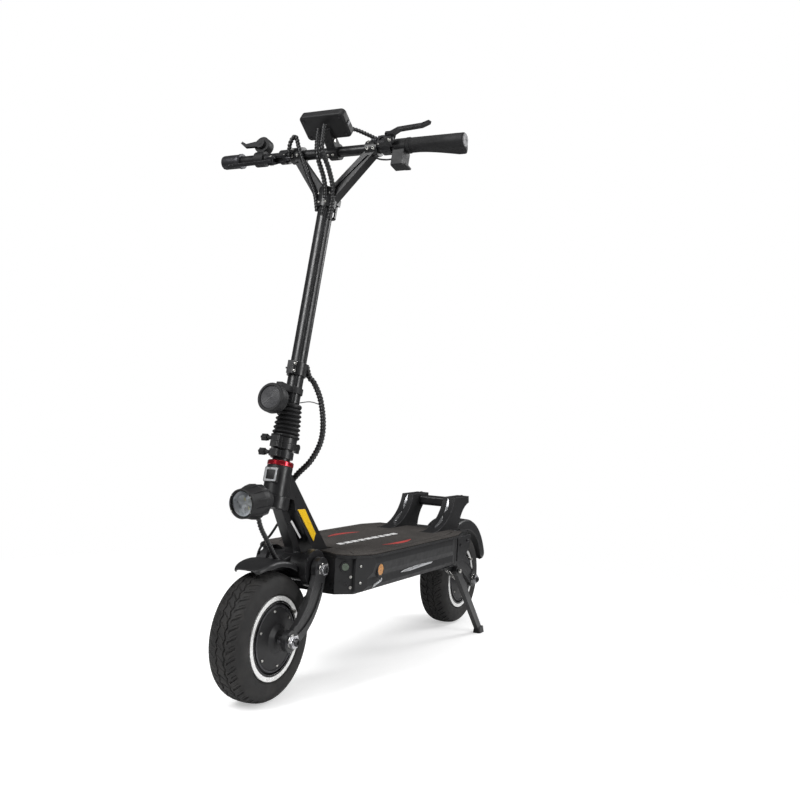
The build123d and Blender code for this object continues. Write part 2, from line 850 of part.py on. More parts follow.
with BuildPart() as stem_base:
    # Upper hinge plate, its knuckle and the inner tube
    add(pinch_clamp(FOLD_D, FOLD_D + 11, 0.001, 25, 0))
    with BuildSketch(SIDE):
        with Locations((FOLD_A, FOLD_D)):
            Circle(6.4)
            Circle(3 + RUN_GAP, mode=Mode.SUBTRACT)
    extrude(amount=6, both=True)
    with BuildSketch(SIDE):
        with BuildLine():
            Polyline(
                (FOLD_A + 2, FOLD_D + 5.4), (-22, FOLD_D + 11), (-22, FOLD_D + 0.1),
                (FOLD_A + 6.2, FOLD_D + 0.1), close=True,
            )
        make_face()
    extrude(amount=6, both=True)
    with BuildSketch(SIDE):
        with Locations((FOLD_A, FOLD_D)):
            Circle(3 + RUN_GAP)
    extrude(amount=6, both=True, mode=Mode.SUBTRACT)
    with BuildSketch(ACROSS.offset(FOLD_D + 11)):
        Circle(INNER_R)
        Circle(11, mode=Mode.SUBTRACT)
    extrude(amount=170)
save(stem_base.part, "stem_base")
save(knob(UPPER_KNOB_D), "clamp_knob_upper")

with BuildPart() as bellows:
    # Pleated boot, turned from a zigzag section
    first = FOLD_D + 12
    pleats = 6
    pitch = 64.0 / pleats
    zigzag = [(INNER_R + 0.3, first)]
    for n in range(pleats):
        peak = 28 - 0.8 * n
        zigzag += [(22.5, first + n * pitch), (peak, first + (n + 0.5) * pitch)]
    zigzag += [(17, first + pleats * pitch), (17, first + pleats * pitch + 6)]
    zigzag += [(INNER_R + 0.3, first + pleats * pitch + 6)]
    with BuildSketch(SIDE):
        with BuildLine():
            Polyline(*zigzag, close=True)
        make_face()
    revolve(axis=Axis(FOOT, AXIS_DIR))
save(bellows.part, "stem_bellows")

with BuildPart() as stem_tube:
    # Ribbed aluminium tube over the inner one
    with BuildSketch(ACROSS.offset(STEM_LOW_D)):
        Circle(STEM_R)
        with PolarLocations(STEM_R, 4, start_angle=45):
            Rectangle(2, 5, mode=Mode.SUBTRACT)
        Circle(INNER_R + 0.05, mode=Mode.SUBTRACT)
    extrude(amount=STEM_HIGH_D - STEM_LOW_D)
save(stem_tube.part, "stem_tube")

with BuildPart() as stem_collar:
    # Height clamp of the stem with its front ear
    with BuildSketch(ACROSS.offset(COLLAR_LOW_D)):
        Circle(20)
        with Locations((22, 0)):
            RectangleRounded(12, 16, 2)
        Circle(STEM_R + 0.05, mode=Mode.SUBTRACT)
    extrude(amount=COLLAR_HIGH_D - COLLAR_LOW_D)
save(stem_collar.part, "stem_collar")

with BuildPart() as horn:
    # Round horn in front of the stem on a strap
    with BuildSketch(FACE.offset(50)):
        with Locations((0, HORN_D)):
            Circle(HORN_R)
    extrude(amount=24)
    fillet(horn.edges().filter_by(GeomType.CIRCLE).group_by(SortBy.RADIUS)[-1], 4)
    with BuildSketch(ACROSS.offset(HORN_D + 26)):
        Circle(STEM_R + 3)
        with Locations((34, 0)):
            Rectangle(40, 14)
        Circle(STEM_R + 0.05, mode=Mode.SUBTRACT)
    extrude(amount=12)
    with BuildSketch(FACE.offset(46)):
        with Locations((0, HORN_D + 20)):
            Rectangle(14, 36)
    extrude(amount=5)
save(horn.part, "horn")

with BuildPart() as brace:
    # V-shaped head: socket on the stem, two ribbed arms and the handlebar clamps
    with BuildSketch(ACROSS.offset(BRACE_LOW_D)):
        Circle(21)
    extrude(amount=BRACE_HIGH_D - BRACE_LOW_D)
    for side in (1, -1):
        with BuildSketch(FACE.offset(-11)):
            with BuildLine():
                Polyline(
                    (side * 2, 1056), (side * 20, 1050), (side * (BRACE_REACH + 12), 1160),
                    (side * (BRACE_REACH - 14), 1160), (side * 8, BRACE_HIGH_D), close=True,
                )
            make_face()
        extrude(amount=22)
        with BuildSketch(FACE.offset(-12)):
            with BuildLine():
                Polyline(
                    (side * 20, 1066), (side * (BRACE_REACH - 2), 1146), (side * (BRACE_REACH - 8), 1148),
                    (side * 16, 1074), close=True,
                )
            make_face()
        extrude(amount=4, mode=Mode.SUBTRACT)
        with BuildSketch(FACE.offset(8)):
            with BuildLine():
                Polyline(
                    (side * 20, 1066), (side * (BRACE_REACH - 2), 1146), (side * (BRACE_REACH - 8), 1148),
                    (side * 16, 1074), close=True,
                )
            make_face()
        extrude(amount=4, mode=Mode.SUBTRACT)
        with BuildSketch(SIDE.offset(-side * BRACE_REACH)):
            with Locations((0, BAR_D)):
                Circle(18)
        extrude(amount=14, both=True)
    # Ears for the hook
    for y in (14, -10):
        with BuildSketch(SIDE.offset(-y)):
            with BuildLine():
                Polyline((-16, 1050), (-32, 1052), (-32, 1066), (-16, 1070), close=True)
            make_face()
        extrude(amount=4)
    with BuildSketch(SIDE.offset(-14)):
        with Locations(HOOK_PIN):
            Circle(2.5)
    extrude(amount=28)
    with BuildSketch(SIDE):
        with Locations((0, BAR_D)):
            Circle(BAR_R)
    extrude(amount=BAR_HALF, both=True, mode=Mode.SUBTRACT)
    with BuildSketch(ACROSS.offset(BRACE_LOW_D - 4)):
        Circle(STEM_R + 0.02)
    extrude(amount=40, mode=Mode.SUBTRACT)
save(brace.part, "bar_brace")

with BuildPart() as handlebar:
    with BuildSketch(SIDE):
        with Locations((0, BAR_D)):
            Circle(BAR_R)
            Circle(9, mode=Mode.SUBTRACT)
    extrude(amount=BAR_HALF, both=True)
save(handlebar.part, "handlebar")


def grip(start, end, wing):
    """A rubber grip between two distances from the middle; wing adds the palm rest."""
    low = max(start, end)
    with BuildPart() as sleeve:
        with BuildSketch(SIDE.offset(-low)):
            with Locations((0, BAR_D)):
                Circle(16.5)
        extrude(amount=abs(end - start))
        if wing:
            with BuildSketch(FACE):
                with BuildLine():
                    Spline((200, BAR_D - 13), (250, BAR_D - 17), (290, BAR_D - 27), (306, BAR_D - 29))
                    Polyline((306, BAR_D - 29), (306, BAR_D), (200, BAR_D), (200, BAR_D - 13))
                make_face()
            extrude(amount=8, both=True)
        with BuildSketch(SIDE.offset(-low - 10)):
            with Locations((0, BAR_D)):
                Circle(BAR_R)
        extrude(amount=abs(end - start) + 20, mode=Mode.SUBTRACT)
    return sleeve.part


save(grip(176, 300, True), "grip_left")
save(grip(-300, -248, False), "grip_right")


def bar_frame(y, tilt):
    """A frame on the handlebar at y: x forward and up by tilt degrees, y left, z away from both."""
    turn = radians(LEAN + tilt)
    return Plane(
        origin=steer_point(0, y, BAR_D), x_dir=(cos(turn), 0, sin(turn)), z_dir=(-sin(turn), 0, cos(turn))
    )


def brake_master(side, tilt):
    """The clamp of a brake lever: ring on the bar, cylinder body and the pivot ears."""
    base = bar_frame(side * BRAKE_Y, tilt)
    with BuildPart() as master:
        with BuildSketch(Plane(base.origin, x_dir=base.x_dir, z_dir=(0, -1, 0))):
            Circle(16)
        extrude(amount=10, both=True)
        with BuildSketch(base.offset(-9)):
            with Locations((19, 0)):
                RectangleRounded(18, 34, 4)
            with Locations((31, side * 16)):
                RectangleRounded(16, 22, 4)
        extrude(amount=18)
        with BuildSketch(base.offset(-4.2)):
            with Locations((36, side * 20)):
                Rectangle(24, 60)
        extrude(amount=8.4, mode=Mode.SUBTRACT)
        with BuildSketch(base.offset(-9)):
            with Locations((33, side * 18)):
                Circle(2.5)
        extrude(amount=18)
        with BuildSketch(Plane(base.origin, x_dir=base.x_dir, z_dir=(0, -1, 0))):
            Circle(BAR_R)
        extrude(amount=60, both=True, mode=Mode.SUBTRACT)
    return master.part


def brake_lever(side, tilt):
    """A lever blade running outward in front of the grip from its pivot."""
    base = bar_frame(side * BRAKE_Y, tilt)
    with BuildPart() as lever:
        with BuildSketch(base.offset(-3.8)):
            with BuildLine():
                Polyline(
                    (29, side * 12),
                    (41, side * 14),
                    (54, side * 44),
                    (58, side * 100),
                    (64, side * 118),
                    (58, side * 122),
                    (50, side * 102),
                    (46, side * 50),
                    (34, side * 27),
                    (28, side * 22),
                    close=True,
                )
            make_face()
            with Locations((33, side * 18)):
                Circle(6)
                Circle(2.5 + RUN_GAP, mode=Mode.SUBTRACT)
        extrude(amount=7.6)
    return lever.part


with BuildPart() as brake_masters:
    add(brake_master(1, LEFT_TILT))
    add(brake_master(-1, RIGHT_TILT))
save(brake_masters.part, "brake_masters")
save(brake_lever(1, LEFT_TILT), "brake_lever_left")
save(brake_lever(-1, RIGHT_TILT), "brake_lever_right")

with BuildPart() as throttle_housing:
    # Round body above the bar on a clamp, with a pin for the paddle
    with BuildSketch(SIDE.offset(-THROTTLE_Y - 12)):
        with Locations((0, BAR_D)):
            Circle(17)
    extrude(amount=24)
    with BuildSketch(FACE.offset(-10)):
        with Locations((THROTTLE_Y, THROTTLE_D)):
            Circle(19)
        with Locations((THROTTLE_Y, THROTTLE_D - 18)):
            Rectangle(18, 20)
    extrude(amount=20)
    with BuildSketch(FACE.offset(10)):
        with Locations((THROTTLE_Y, THROTTLE_D)):
            Circle(4)
    extrude(amount=9)
    with BuildSketch(SIDE):
        with Locations((0, BAR_D)):
            Circle(BAR_R)
    extrude(amount=BAR_HALF, both=True, mode=Mode.SUBTRACT)
save(throttle_housing.part, "throttle_housing")

with BuildPart() as throttle_paddle:
    # Disc on the pin with a thumb blade
    with BuildSketch(FACE.offset(10.4)):
        with Locations((THROTTLE_Y, THROTTLE_D)):
            Circle(11)
        with BuildLine():
            Polyline(
                (THROTTLE_Y, THROTTLE_D - 8), (THROTTLE_Y - 40, THROTTLE_D - 7),
                (THROTTLE_Y - 54, THROTTLE_D + 4),
                (THROTTLE_Y - 50, THROTTLE_D + 8), (THROTTLE_Y - 38, THROTTLE_D + 1),
                (THROTTLE_Y, THROTTLE_D + 6),
                close=True,
            )
        make_face()
        with Locations((THROTTLE_Y, THROTTLE_D)):
            Circle(4 + RUN_GAP, mode=Mode.SUBTRACT)
    extrude(amount=7.6)
save(throttle_paddle.part, "throttle_paddle")

with BuildPart() as switch_pod:
    # Switch box hung under the bar, with a pocket for the horn button
    with BuildSketch(SIDE.offset(-POD_Y - 13)):
        with Locations((0, BAR_D)):
            Circle(16)
        with Locations((0, (POD_TOP + POD_LOW) / 2)):
            RectangleRounded(30, POD_TOP - POD_LOW, 4)
    extrude(amount=26)
    with BuildSketch(SIDE.offset(-POD_Y - 22)):
        with Locations((0, POD_LOW + 2)):
            Rectangle(26, 4)
    extrude(amount=12)
    with BuildSketch(SIDE):
        with Locations((0, BAR_D)):
            Circle(BAR_R)
    extrude(amount=BAR_HALF, both=True, mode=Mode.SUBTRACT)
    with BuildSketch(FACE.offset(-16)):
        with Locations((POD_Y, POD_TOP - 18)):
            RectangleRounded(14, 12, 3)
    extrude(amount=6, mode=Mode.SUBTRACT)
save(switch_pod.part, "switch_pod")

with BuildPart() as horn_button:
    with BuildSketch(FACE.offset(-17.5)):
        with Locations((POD_Y, POD_TOP - 18)):
            RectangleRounded(13.6, 11.6, 2.8)
    extrude(amount=5.5)
save(horn_button.part, "horn_button")

with BuildPart() as display:
    # Rounded case facing the rider, on a neck clamped to the middle of the bar
    screen_turn = radians(SCREEN_TILT)
    case_plane = Plane(
        origin=steer_point(53, 0, BAR_D + 36),
        x_dir=(cos(screen_turn), 0, sin(screen_turn)),
        z_dir=(-sin(screen_turn), 0, cos(screen_turn)),
    )
    with BuildSketch(case_plane.offset(-9)):
        RectangleRounded(60, 108, 9)
    extrude(amount=18)
    fillet(display.faces().sort_by(Axis((0, 0, 0), case_plane.z_dir))[0].edges(), 4)
    with BuildSketch(SIDE):
        with Locations((0, BAR_D)):
            Circle(17)
        with BuildLine():
            Polyline(
                (4, BAR_D + 14), (14, BAR_D - 6), (58, BAR_D + 22), (50, BAR_D + 34), close=True
            )
        make_face()
    extrude(amount=11, both=True)
    with BuildSketch(SIDE):
        with Locations((0, BAR_D)):
            Circle(BAR_R)
    extrude(amount=BAR_HALF, both=True, mode=Mode.SUBTRACT)
save(display.part, "display")

with BuildPart() as hook:
    # Square ring that hangs behind the stem head
    with BuildSketch(FACE.offset(-30)):
        with Locations((0, 1042)):
            RectangleRounded(19, 44, 4)
        with Locations((0, 1034)):
            RectangleRounded(12, 18, 2, mode=Mode.SUBTRACT)
    extrude(amount=6)
    with BuildSketch(SIDE.offset(-9.5)):
        with Locations(HOOK_PIN):
            Circle(5)
    extrude(amount=19)
    with BuildSketch(SIDE.offset(-14)):
        with Locations(HOOK_PIN):
            Circle(2.5 + RUN_GAP)
    extrude(amount=28, mode=Mode.SUBTRACT)
save(hook.part, "stem_hook")
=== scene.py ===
"""Electric kick scooter: finishes, tyres, grips, boot, conduits, lamps and small fittings
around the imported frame. Steering parts are placed by steer(a, y, d) in millimetres:
a forward of the steering axis, y to the rider's left and d up the axis from the ground."""

import json
from math import cos, exp, inf, pi, radians, sin, sqrt, tau

import bmesh
import bpy
from mathutils import Matrix, Vector


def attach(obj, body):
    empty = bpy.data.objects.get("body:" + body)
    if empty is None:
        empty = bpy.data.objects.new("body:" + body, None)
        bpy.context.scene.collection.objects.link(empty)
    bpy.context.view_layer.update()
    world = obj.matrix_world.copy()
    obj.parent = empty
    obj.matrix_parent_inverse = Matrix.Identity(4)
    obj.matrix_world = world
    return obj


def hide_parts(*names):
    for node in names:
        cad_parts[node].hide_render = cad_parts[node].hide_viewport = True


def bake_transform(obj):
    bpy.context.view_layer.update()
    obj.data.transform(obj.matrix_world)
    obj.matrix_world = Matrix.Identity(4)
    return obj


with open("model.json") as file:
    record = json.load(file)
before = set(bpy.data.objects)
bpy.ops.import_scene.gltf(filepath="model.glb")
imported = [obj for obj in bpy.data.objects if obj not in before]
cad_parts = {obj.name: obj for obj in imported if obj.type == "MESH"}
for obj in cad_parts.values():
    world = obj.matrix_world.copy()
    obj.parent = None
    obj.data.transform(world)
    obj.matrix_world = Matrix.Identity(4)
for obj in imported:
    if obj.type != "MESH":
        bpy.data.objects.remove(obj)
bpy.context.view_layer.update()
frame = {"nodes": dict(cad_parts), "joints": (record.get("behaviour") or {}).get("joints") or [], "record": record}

MM = 0.001
JOINTS = {joint["name"]: joint for joint in frame["joints"]}


def joint_at(name):
    return Vector(JOINTS[name]["pos_m"])


def joint_axis(name):
    return Vector(JOINTS[name]["axis"]).normalized()


# Places

UP = joint_axis("steering")
LEFT = Vector((0, 1, 0))
AHEAD = LEFT.cross(UP)
STEERING_D = 440
FOOT = joint_at("steering") - UP * STEERING_D * MM
AXLES = {"front": joint_at("front_wheel_spin"), "rear": joint_at("rear_wheel_spin")}
PIVOTS = {"front": joint_at("front_suspension"), "rear": joint_at("rear_suspension")}
BAR_D = 1167
BAR_R = 11.1


def mm(x, y, z):
    return Vector((x, y, z)) * MM


def steer(a, y, d):
    return FOOT + (AHEAD * a + LEFT * y + UP * d) * MM


# Materials


class Nodes:
    """A short way to write a material's nodes."""

    def __init__(self, name):
        self.material = bpy.data.materials.new(name)
        self.material.use_nodes = True
        self.tree = self.material.node_tree
        self.shader = self.tree.nodes["Principled BSDF"]
        coordinates = self.add("ShaderNodeTexCoord")
        self.place = coordinates.outputs["Object"]

    def add(self, kind, **settings):
        node = self.tree.nodes.new(kind)
        for key, value in settings.items():
            setattr(node, key, value)
        return node

    def link(self, source, target):
        self.tree.links.new(source, target)

    def put(self, source, target):
        """A socket links, a plain value is set."""
        if isinstance(source, bpy.types.NodeSocket):
            self.link(source, target)
        else:
            target.default_value = source

    def noise(self, scale, detail=3.0, stretch=None, offset=0.0):
        node = self.add("ShaderNodeTexNoise")
        node.inputs["Scale"].default_value = scale
        node.inputs["Detail"].default_value = detail
        mapping = self.add("ShaderNodeMapping")
        mapping.inputs["Location"].default_value = (offset, offset, offset)
        mapping.inputs["Scale"].default_value = stretch or (1, 1, 1)
        self.link(self.place, mapping.inputs["Vector"])
        self.link(mapping.outputs["Vector"], node.inputs["Vector"])
        return node.outputs["Fac"]

    def math(self, operation, first, second=0.0):
        node = self.add("ShaderNodeMath", operation=operation)
        self.put(first, node.inputs[0])
        self.put(second, node.inputs[1])
        return node.outputs[0]

    def span(self, value, low, high, to_low=0.0, to_high=1.0):
        node = self.add("ShaderNodeMapRange", clamp=True)
        self.put(value, node.inputs["Value"])
        for key, number in (("From Min", low), ("From Max", high), ("To Min", to_low), ("To Max", to_high)):
            node.inputs[key].default_value = number
        return node.outputs["Result"]

    def mix(self, share, first, second):
        node = self.add("ShaderNodeMix", data_type="RGBA")
        self.put(share, node.inputs["Factor"])
        self.put(first, node.inputs["A"])
        self.put(second, node.inputs["B"])
        return node.outputs["Result"]

    def split(self):
        node = self.add("ShaderNodeSeparateXYZ")
        self.link(self.place, node.inputs[0])
        return node.outputs

    def length(self, first, second):
        """The length of a vector from its two parts."""
        squares = self.math("ADD", self.math("POWER", first, 2.0), self.math("POWER", second, 2.0))
        return self.math("SQRT", squares)

    def radius_from(self, centre):
        """Distance from an axle that runs along Y through centre, in metres."""
        axes = self.split()
        dx = self.math("SUBTRACT", axes[0], centre.x)
        return self.length(dx, self.math("SUBTRACT", axes[2], centre.z))

    def set(self, key, value):
        self.put(value, self.shader.inputs[key])


FINISHES = {}
MOTTLE_SCALE = 14.0


def shade(colour, factor):
    return (colour[0] * factor, colour[1] * factor, colour[2] * factor, 1.0)


def surface(name, colour, rough, slot=None, metal=0.0, mottle=0.12, grain=900.0, bump=0.15, depth=0.00006,
            edge=None, round_edge=0.0008, coat=0.0, stretch=None, colour_from=None, shine=0.5):
    """A finish: colour and roughness drift in broad patches, a fine grain lifts the surface, and
    edges are rounded and painted lighter, partly as rubbed wear and partly as a painted highlight.
    colour_from(nodes, plain colour) may add a pattern.
    Each finish keeps a slot name, its own unless another is given; nothing here uses it."""
    nodes = Nodes(name)
    FINISHES[name] = (nodes.material, slot or name)
    broad = nodes.noise(MOTTLE_SCALE, 4.0)
    patches = nodes.noise(MOTTLE_SCALE * 5.3, 5.0, offset=0.7)
    blend = nodes.math("ADD", nodes.math("MULTIPLY", broad, 0.6), nodes.math("MULTIPLY", patches, 0.4))
    blend = nodes.span(blend, 0.35, 0.65)
    tone = nodes.mix(blend, shade(colour, 1 - mottle), shade(colour, 1 + mottle))
    if colour_from:
        tone = colour_from(nodes, tone)
    rough_tone = nodes.span(patches, 0.3, 0.7, rough - 0.06, rough + 0.07)
    # Edges painted lighter than the face: partly rubbed wear, partly a painted highlight.
    if edge:
        rounded = nodes.add("ShaderNodeBevel", samples=4)
        rounded.inputs["Radius"].default_value = round_edge * 1.6
        geometry = nodes.add("ShaderNodeNewGeometry")
        facing = nodes.add("ShaderNodeVectorMath", operation="DOT_PRODUCT")
        nodes.link(rounded.outputs[0], facing.inputs[0])
        nodes.link(geometry.outputs["Normal"], facing.inputs[1])
        corner = nodes.span(facing.outputs["Value"], 0.985, 0.86)
        rubbed_and_highlit = nodes.math("MULTIPLY", corner, nodes.span(patches, 0.38, 0.62, 0.35, 1.0))
        tone = nodes.mix(rubbed_and_highlit, tone, (*edge, 1.0))
    nodes.set("Base Color", tone)
    nodes.set("Roughness", rough_tone)
    nodes.set("Metallic", metal)
    nodes.set("Specular IOR Level", shine)
    if coat:
        nodes.set("Coat Weight", coat)
        nodes.set("Coat Roughness", 0.15)
    fine = nodes.noise(grain, 2.0, stretch)
    lift = nodes.add("ShaderNodeBump")
    lift.inputs["Strength"].default_value = bump
    lift.inputs["Distance"].default_value = depth
    nodes.link(fine, lift.inputs["Height"])
    soft = nodes.add("ShaderNodeBevel", samples=4)
    soft.inputs["Radius"].default_value = round_edge
    nodes.link(soft.outputs[0], lift.inputs["Normal"])
    nodes.link(lift.outputs[0], nodes.shader.inputs["Normal"])


def turned_colour(centre, scale, dull, bright, inner, outer):
    """Turned metal with fine lathe rings, from a radius outwards."""

    def paint(nodes, tone):
        radius = nodes.radius_from(centre)
        lathe = nodes.add("ShaderNodeTexNoise", noise_dimensions="1D")
        lathe.inputs["Scale"].default_value = scale
        nodes.link(radius, lathe.inputs["W"])
        metal = nodes.mix(lathe.outputs["Fac"], dull, bright)
        return nodes.mix(nodes.span(radius, inner, outer), tone, metal)

    return paint


def mat_grit(nodes, tone):
    """Coarse mineral grit in the grip mat: pale and dark specks."""
    specks = nodes.add("ShaderNodeTexVoronoi", feature="F1")
    specks.inputs["Scale"].default_value = 620.0
    nodes.link(nodes.place, specks.inputs["Vector"])
    pale = nodes.span(specks.outputs["Distance"], 0.10, 0.34, 1.0, 0.0)
    tone = nodes.mix(nodes.math("MULTIPLY", pale, 0.5), tone, (0.17, 0.155, 0.14, 1))
    return nodes.mix(nodes.span(nodes.noise(330.0, 2.0), 0.56, 0.66, 0.0, 0.5), tone, (0.012, 0.011, 0.011, 1))


def reflector_colour(nodes, tone):
    """Amber prisms on the deck sides, bright yellow film on the neck."""
    cells = nodes.add("ShaderNodeTexVoronoi", feature="DISTANCE_TO_EDGE")
    cells.inputs["Scale"].default_value = 420.0
    nodes.link(nodes.place, cells.inputs["Vector"])
    net = nodes.span(cells.outputs["Distance"], 0.02, 0.10)
    amber = nodes.mix(net, (0.16, 0.06, 0.01, 1), (0.62, 0.27, 0.06, 1))
    film = nodes.mix(net, (0.72, 0.42, 0.0, 1), (0.95, 0.60, 0.01, 1))
    neck = nodes.span(nodes.split()[0], 0.24, 0.25)
    return nodes.mix(neck, amber, film)


def tyre_dust(nodes, tone):
    """Rubber with a faint brown dust."""
    dust = nodes.span(nodes.noise(38.0, 6.0, offset=1.3), 0.45, 0.72, 0.0, 0.55)
    return nodes.mix(dust, tone, (0.034, 0.032, 0.030, 1))


surface("black_paint", (0.0125, 0.0125, 0.0135), 0.33, edge=(0.06, 0.06, 0.064), grain=1300)
surface("dark_cast", (0.018, 0.018, 0.020), 0.38, metal=0.25, edge=(0.10, 0.10, 0.105), grain=700, bump=0.3)
# Footrest uprights: black paint whose edges carry a brighter painted highlight.
surface("upright_paint", (0.013, 0.013, 0.014), 0.56, edge=(0.12, 0.12, 0.125), grain=1100, shine=0.25,
        round_edge=0.0014)
surface("motor_black", (0.014, 0.014, 0.015), 0.42, metal=0.2, shine=0.4, edge=(0.10, 0.10, 0.105), grain=1200)
# The lamp reflector: silver painted near-white and barely metallic, a painted reflection that keeps the bowl
# bright.
surface("lamp_silver_painted_bright", (0.86, 0.87, 0.88), 0.3, "silver_alloy", metal=0.25, mottle=0.05, edge=(0.9, 0.9, 0.9),
        grain=1500)
surface("horn_grey", (0.045, 0.045, 0.048), 0.5, "black_plastic", edge=(0.10, 0.10, 0.105), grain=1000,
        bump=0.5)
surface("port_green", (0.075, 0.098, 0.072), 0.5, "grey_plastic", edge=(0.16, 0.2, 0.15), bump=0.4)
surface("black_plastic", (0.0125, 0.0125, 0.0135), 0.52, edge=(0.035, 0.035, 0.037), grain=1500, bump=0.4,
        shine=0.35)
surface("mat_rubber", (0.052, 0.047, 0.044), 0.9, shine=0.2, mottle=0.2, grain=1100, bump=1.0, depth=0.0004,
        edge=(0.10, 0.09, 0.08), colour_from=mat_grit)
surface("boot_rubber", (0.011, 0.011, 0.012), 0.5, grain=1700, bump=0.35, edge=(0.03, 0.03, 0.03), shine=0.35)
surface("tread_rubber", (0.017, 0.0165, 0.0165), 0.68, mottle=0.25, shine=0.35, grain=1000, bump=0.5,
        depth=0.0001, edge=(0.055, 0.052, 0.05), round_edge=0.0005, colour_from=tyre_dust)
surface("fender_black", (0.014, 0.014, 0.015), 0.4, "black_plastic", edge=(0.05, 0.05, 0.052), grain=1200,
        bump=0.4)
surface("silver_alloy", (0.62, 0.63, 0.65), 0.3, metal=1.0, mottle=0.05, edge=(0.8, 0.8, 0.8), grain=1500)
surface("bare_steel", (0.5, 0.5, 0.52), 0.27, metal=1.0, mottle=0.1, edge=(0.8, 0.8, 0.8), stretch=(1, 0.1, 1))
surface("red_anodised", (0.52, 0.012, 0.028), 0.2, metal=0.85, mottle=0.1, coat=0.5, edge=(0.9, 0.25, 0.25))
surface("amber_lens", (0.75, 0.42, 0.03), 0.16, coat=1.0, grain=700, bump=0.25, edge=(0.9, 0.6, 0.2),
        colour_from=reflector_colour)
surface("grey_plastic", (0.13, 0.15, 0.125), 0.55, edge=(0.2, 0.22, 0.19), grain=1100, bump=0.35)
surface("grip_rubber", (0.013, 0.013, 0.014), 0.62, "boot_rubber", shine=0.35, grain=1400, bump=0.6,
        edge=(0.045, 0.045, 0.046))
surface("satin_grey", (0.055, 0.055, 0.06), 0.34, "silver_alloy", metal=0.7, edge=(0.2, 0.2, 0.21), grain=1100)
surface("pale_cap", (0.17, 0.17, 0.175), 0.5, "boot_rubber", metal=0.3, edge=(0.3, 0.3, 0.3), grain=1100)
surface("conduit_black", (0.010, 0.010, 0.011), 0.34, "boot_rubber", edge=(0.045, 0.045, 0.045), grain=1200,
        round_edge=0.0004)
surface("hose_black", (0.010, 0.010, 0.011), 0.46, "boot_rubber", shine=0.4, grain=1500, bump=0.3)
surface("white_print", (0.70, 0.70, 0.70), 0.6, "mat_rubber", mottle=0.1, grain=1500, bump=0.5)
surface("red_print", (0.40, 0.035, 0.03), 0.65, "mat_rubber", mottle=0.25, grain=1500, bump=0.6, depth=0.0002)
surface("screen_glass", (0.006, 0.007, 0.010), 0.07, "lamp_glass", mottle=0.05, bump=0.02, coat=1.0)
surface("lamp_chip", (0.85, 0.80, 0.52), 0.35, "lamp_glass", mottle=0.06, bump=0.2)
surface("zinc", (0.62, 0.61, 0.58), 0.3, "bare_steel", metal=0.95, edge=(0.85, 0.85, 0.83), grain=1300)
surface("black_bolt", (0.022, 0.022, 0.024), 0.3, "bare_steel", metal=0.6, edge=(0.24, 0.24, 0.25), grain=1200,
        round_edge=0.0004)


# A clear moulded lens with faint waves
nodes = Nodes("lamp_glass")
FINISHES["lamp_glass"] = (nodes.material, "lamp_glass")
nodes.set("Base Color", (0.95, 0.97, 1.0, 1.0))
nodes.set("Roughness", nodes.span(nodes.noise(30.0), 0.3, 0.7, 0.02, 0.07))
nodes.set("Transmission Weight", 1.0)
nodes.set("IOR", 1.35)
waves = nodes.add("ShaderNodeBump")
waves.inputs["Strength"].default_value = 0.08
waves.inputs["Distance"].default_value = 0.0004
nodes.link(nodes.noise(120.0, 1.0), waves.inputs["Height"])
nodes.link(waves.outputs[0], nodes.shader.inputs["Normal"])

# Every CAD piece takes the finish of its material slot, with a few of its own
slot_of = {part["node"]: part["material_slot"] for part in frame["record"]["subparts"]}
finish_of = {**slot_of, "footrest_uprights": "upright_paint", "charge_port": "black_plastic"}
for end, axle in AXLES.items():
    lip = turned_colour(axle, 2600.0, (0.78, 0.78, 0.77, 1), (0.9, 0.9, 0.89, 1), 0.0738, 0.0743)
    track = turned_colour(axle, 4200.0, (0.30, 0.30, 0.31, 1), (0.62, 0.62, 0.63, 1), 0.060, 0.062)
    surface(f"{end}_rim_paint", (0.013, 0.013, 0.014), 0.26, metal=0.5, edge=(0.5, 0.5, 0.5), colour_from=lip)
    surface(f"{end}_disc_steel", (0.16, 0.16, 0.17), 0.3, metal=1.0, edge=(0.6, 0.6, 0.6), colour_from=track)
    finish_of |= {f"{end}_rim": f"{end}_rim_paint", f"{end}_brake_disc": f"{end}_disc_steel",
                  f"{end}_motor_shell": "motor_black"}
for node, thing in frame["nodes"].items():
    thing.data.materials.clear()
    thing.data.materials.append(FINISHES[finish_of[node]][0])

# Mesh tools

WRAP_PITCH = 7.0
WRAP_BAND = 0.62
WRAP_EDGE = 0.10
WRAP_LIFT = 1.1


def make(name, mesh, finish, body, smooth_angle=38.0, replaces=None):
    """A finished piece from a bmesh, riding on one body. It may stand for a CAD node."""
    bmesh.ops.remove_doubles(mesh, verts=mesh.verts, dist=1e-7)
    bmesh.ops.recalc_face_normals(mesh, faces=mesh.faces)
    data = bpy.data.meshes.new(name)
    mesh.to_mesh(data)
    mesh.free()
    data.polygons.foreach_set("use_smooth", [True] * len(data.polygons))
    data.set_sharp_from_angle(angle=radians(smooth_angle))
    material, usual_slot = FINISHES[finish]
    data.materials.append(material)
    thing = bpy.data.objects.new(name, data)
    bpy.context.scene.collection.objects.link(thing)
    if body:
        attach(thing, body)
    if replaces:
        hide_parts(replaces)
    return thing


def side_axes(direction):
    """Two directions square to this one."""
    along = Vector(direction).normalized()
    helper = Vector((0, 0, 1)) if abs(along.z) < 0.9 else Vector((1, 0, 0))
    first = along.cross(helper).normalized()
    return first, along.cross(first)


def circle(count, shift=0.0):
    """Angles evenly round a full turn, moved on by a share of one step."""
    return [tau * (k + shift) / count for k in range(count)]


def spoke(axes, angle):
    """The direction at an angle round an axis, from its two side axes."""
    return axes[0] * cos(angle) + axes[1] * sin(angle)


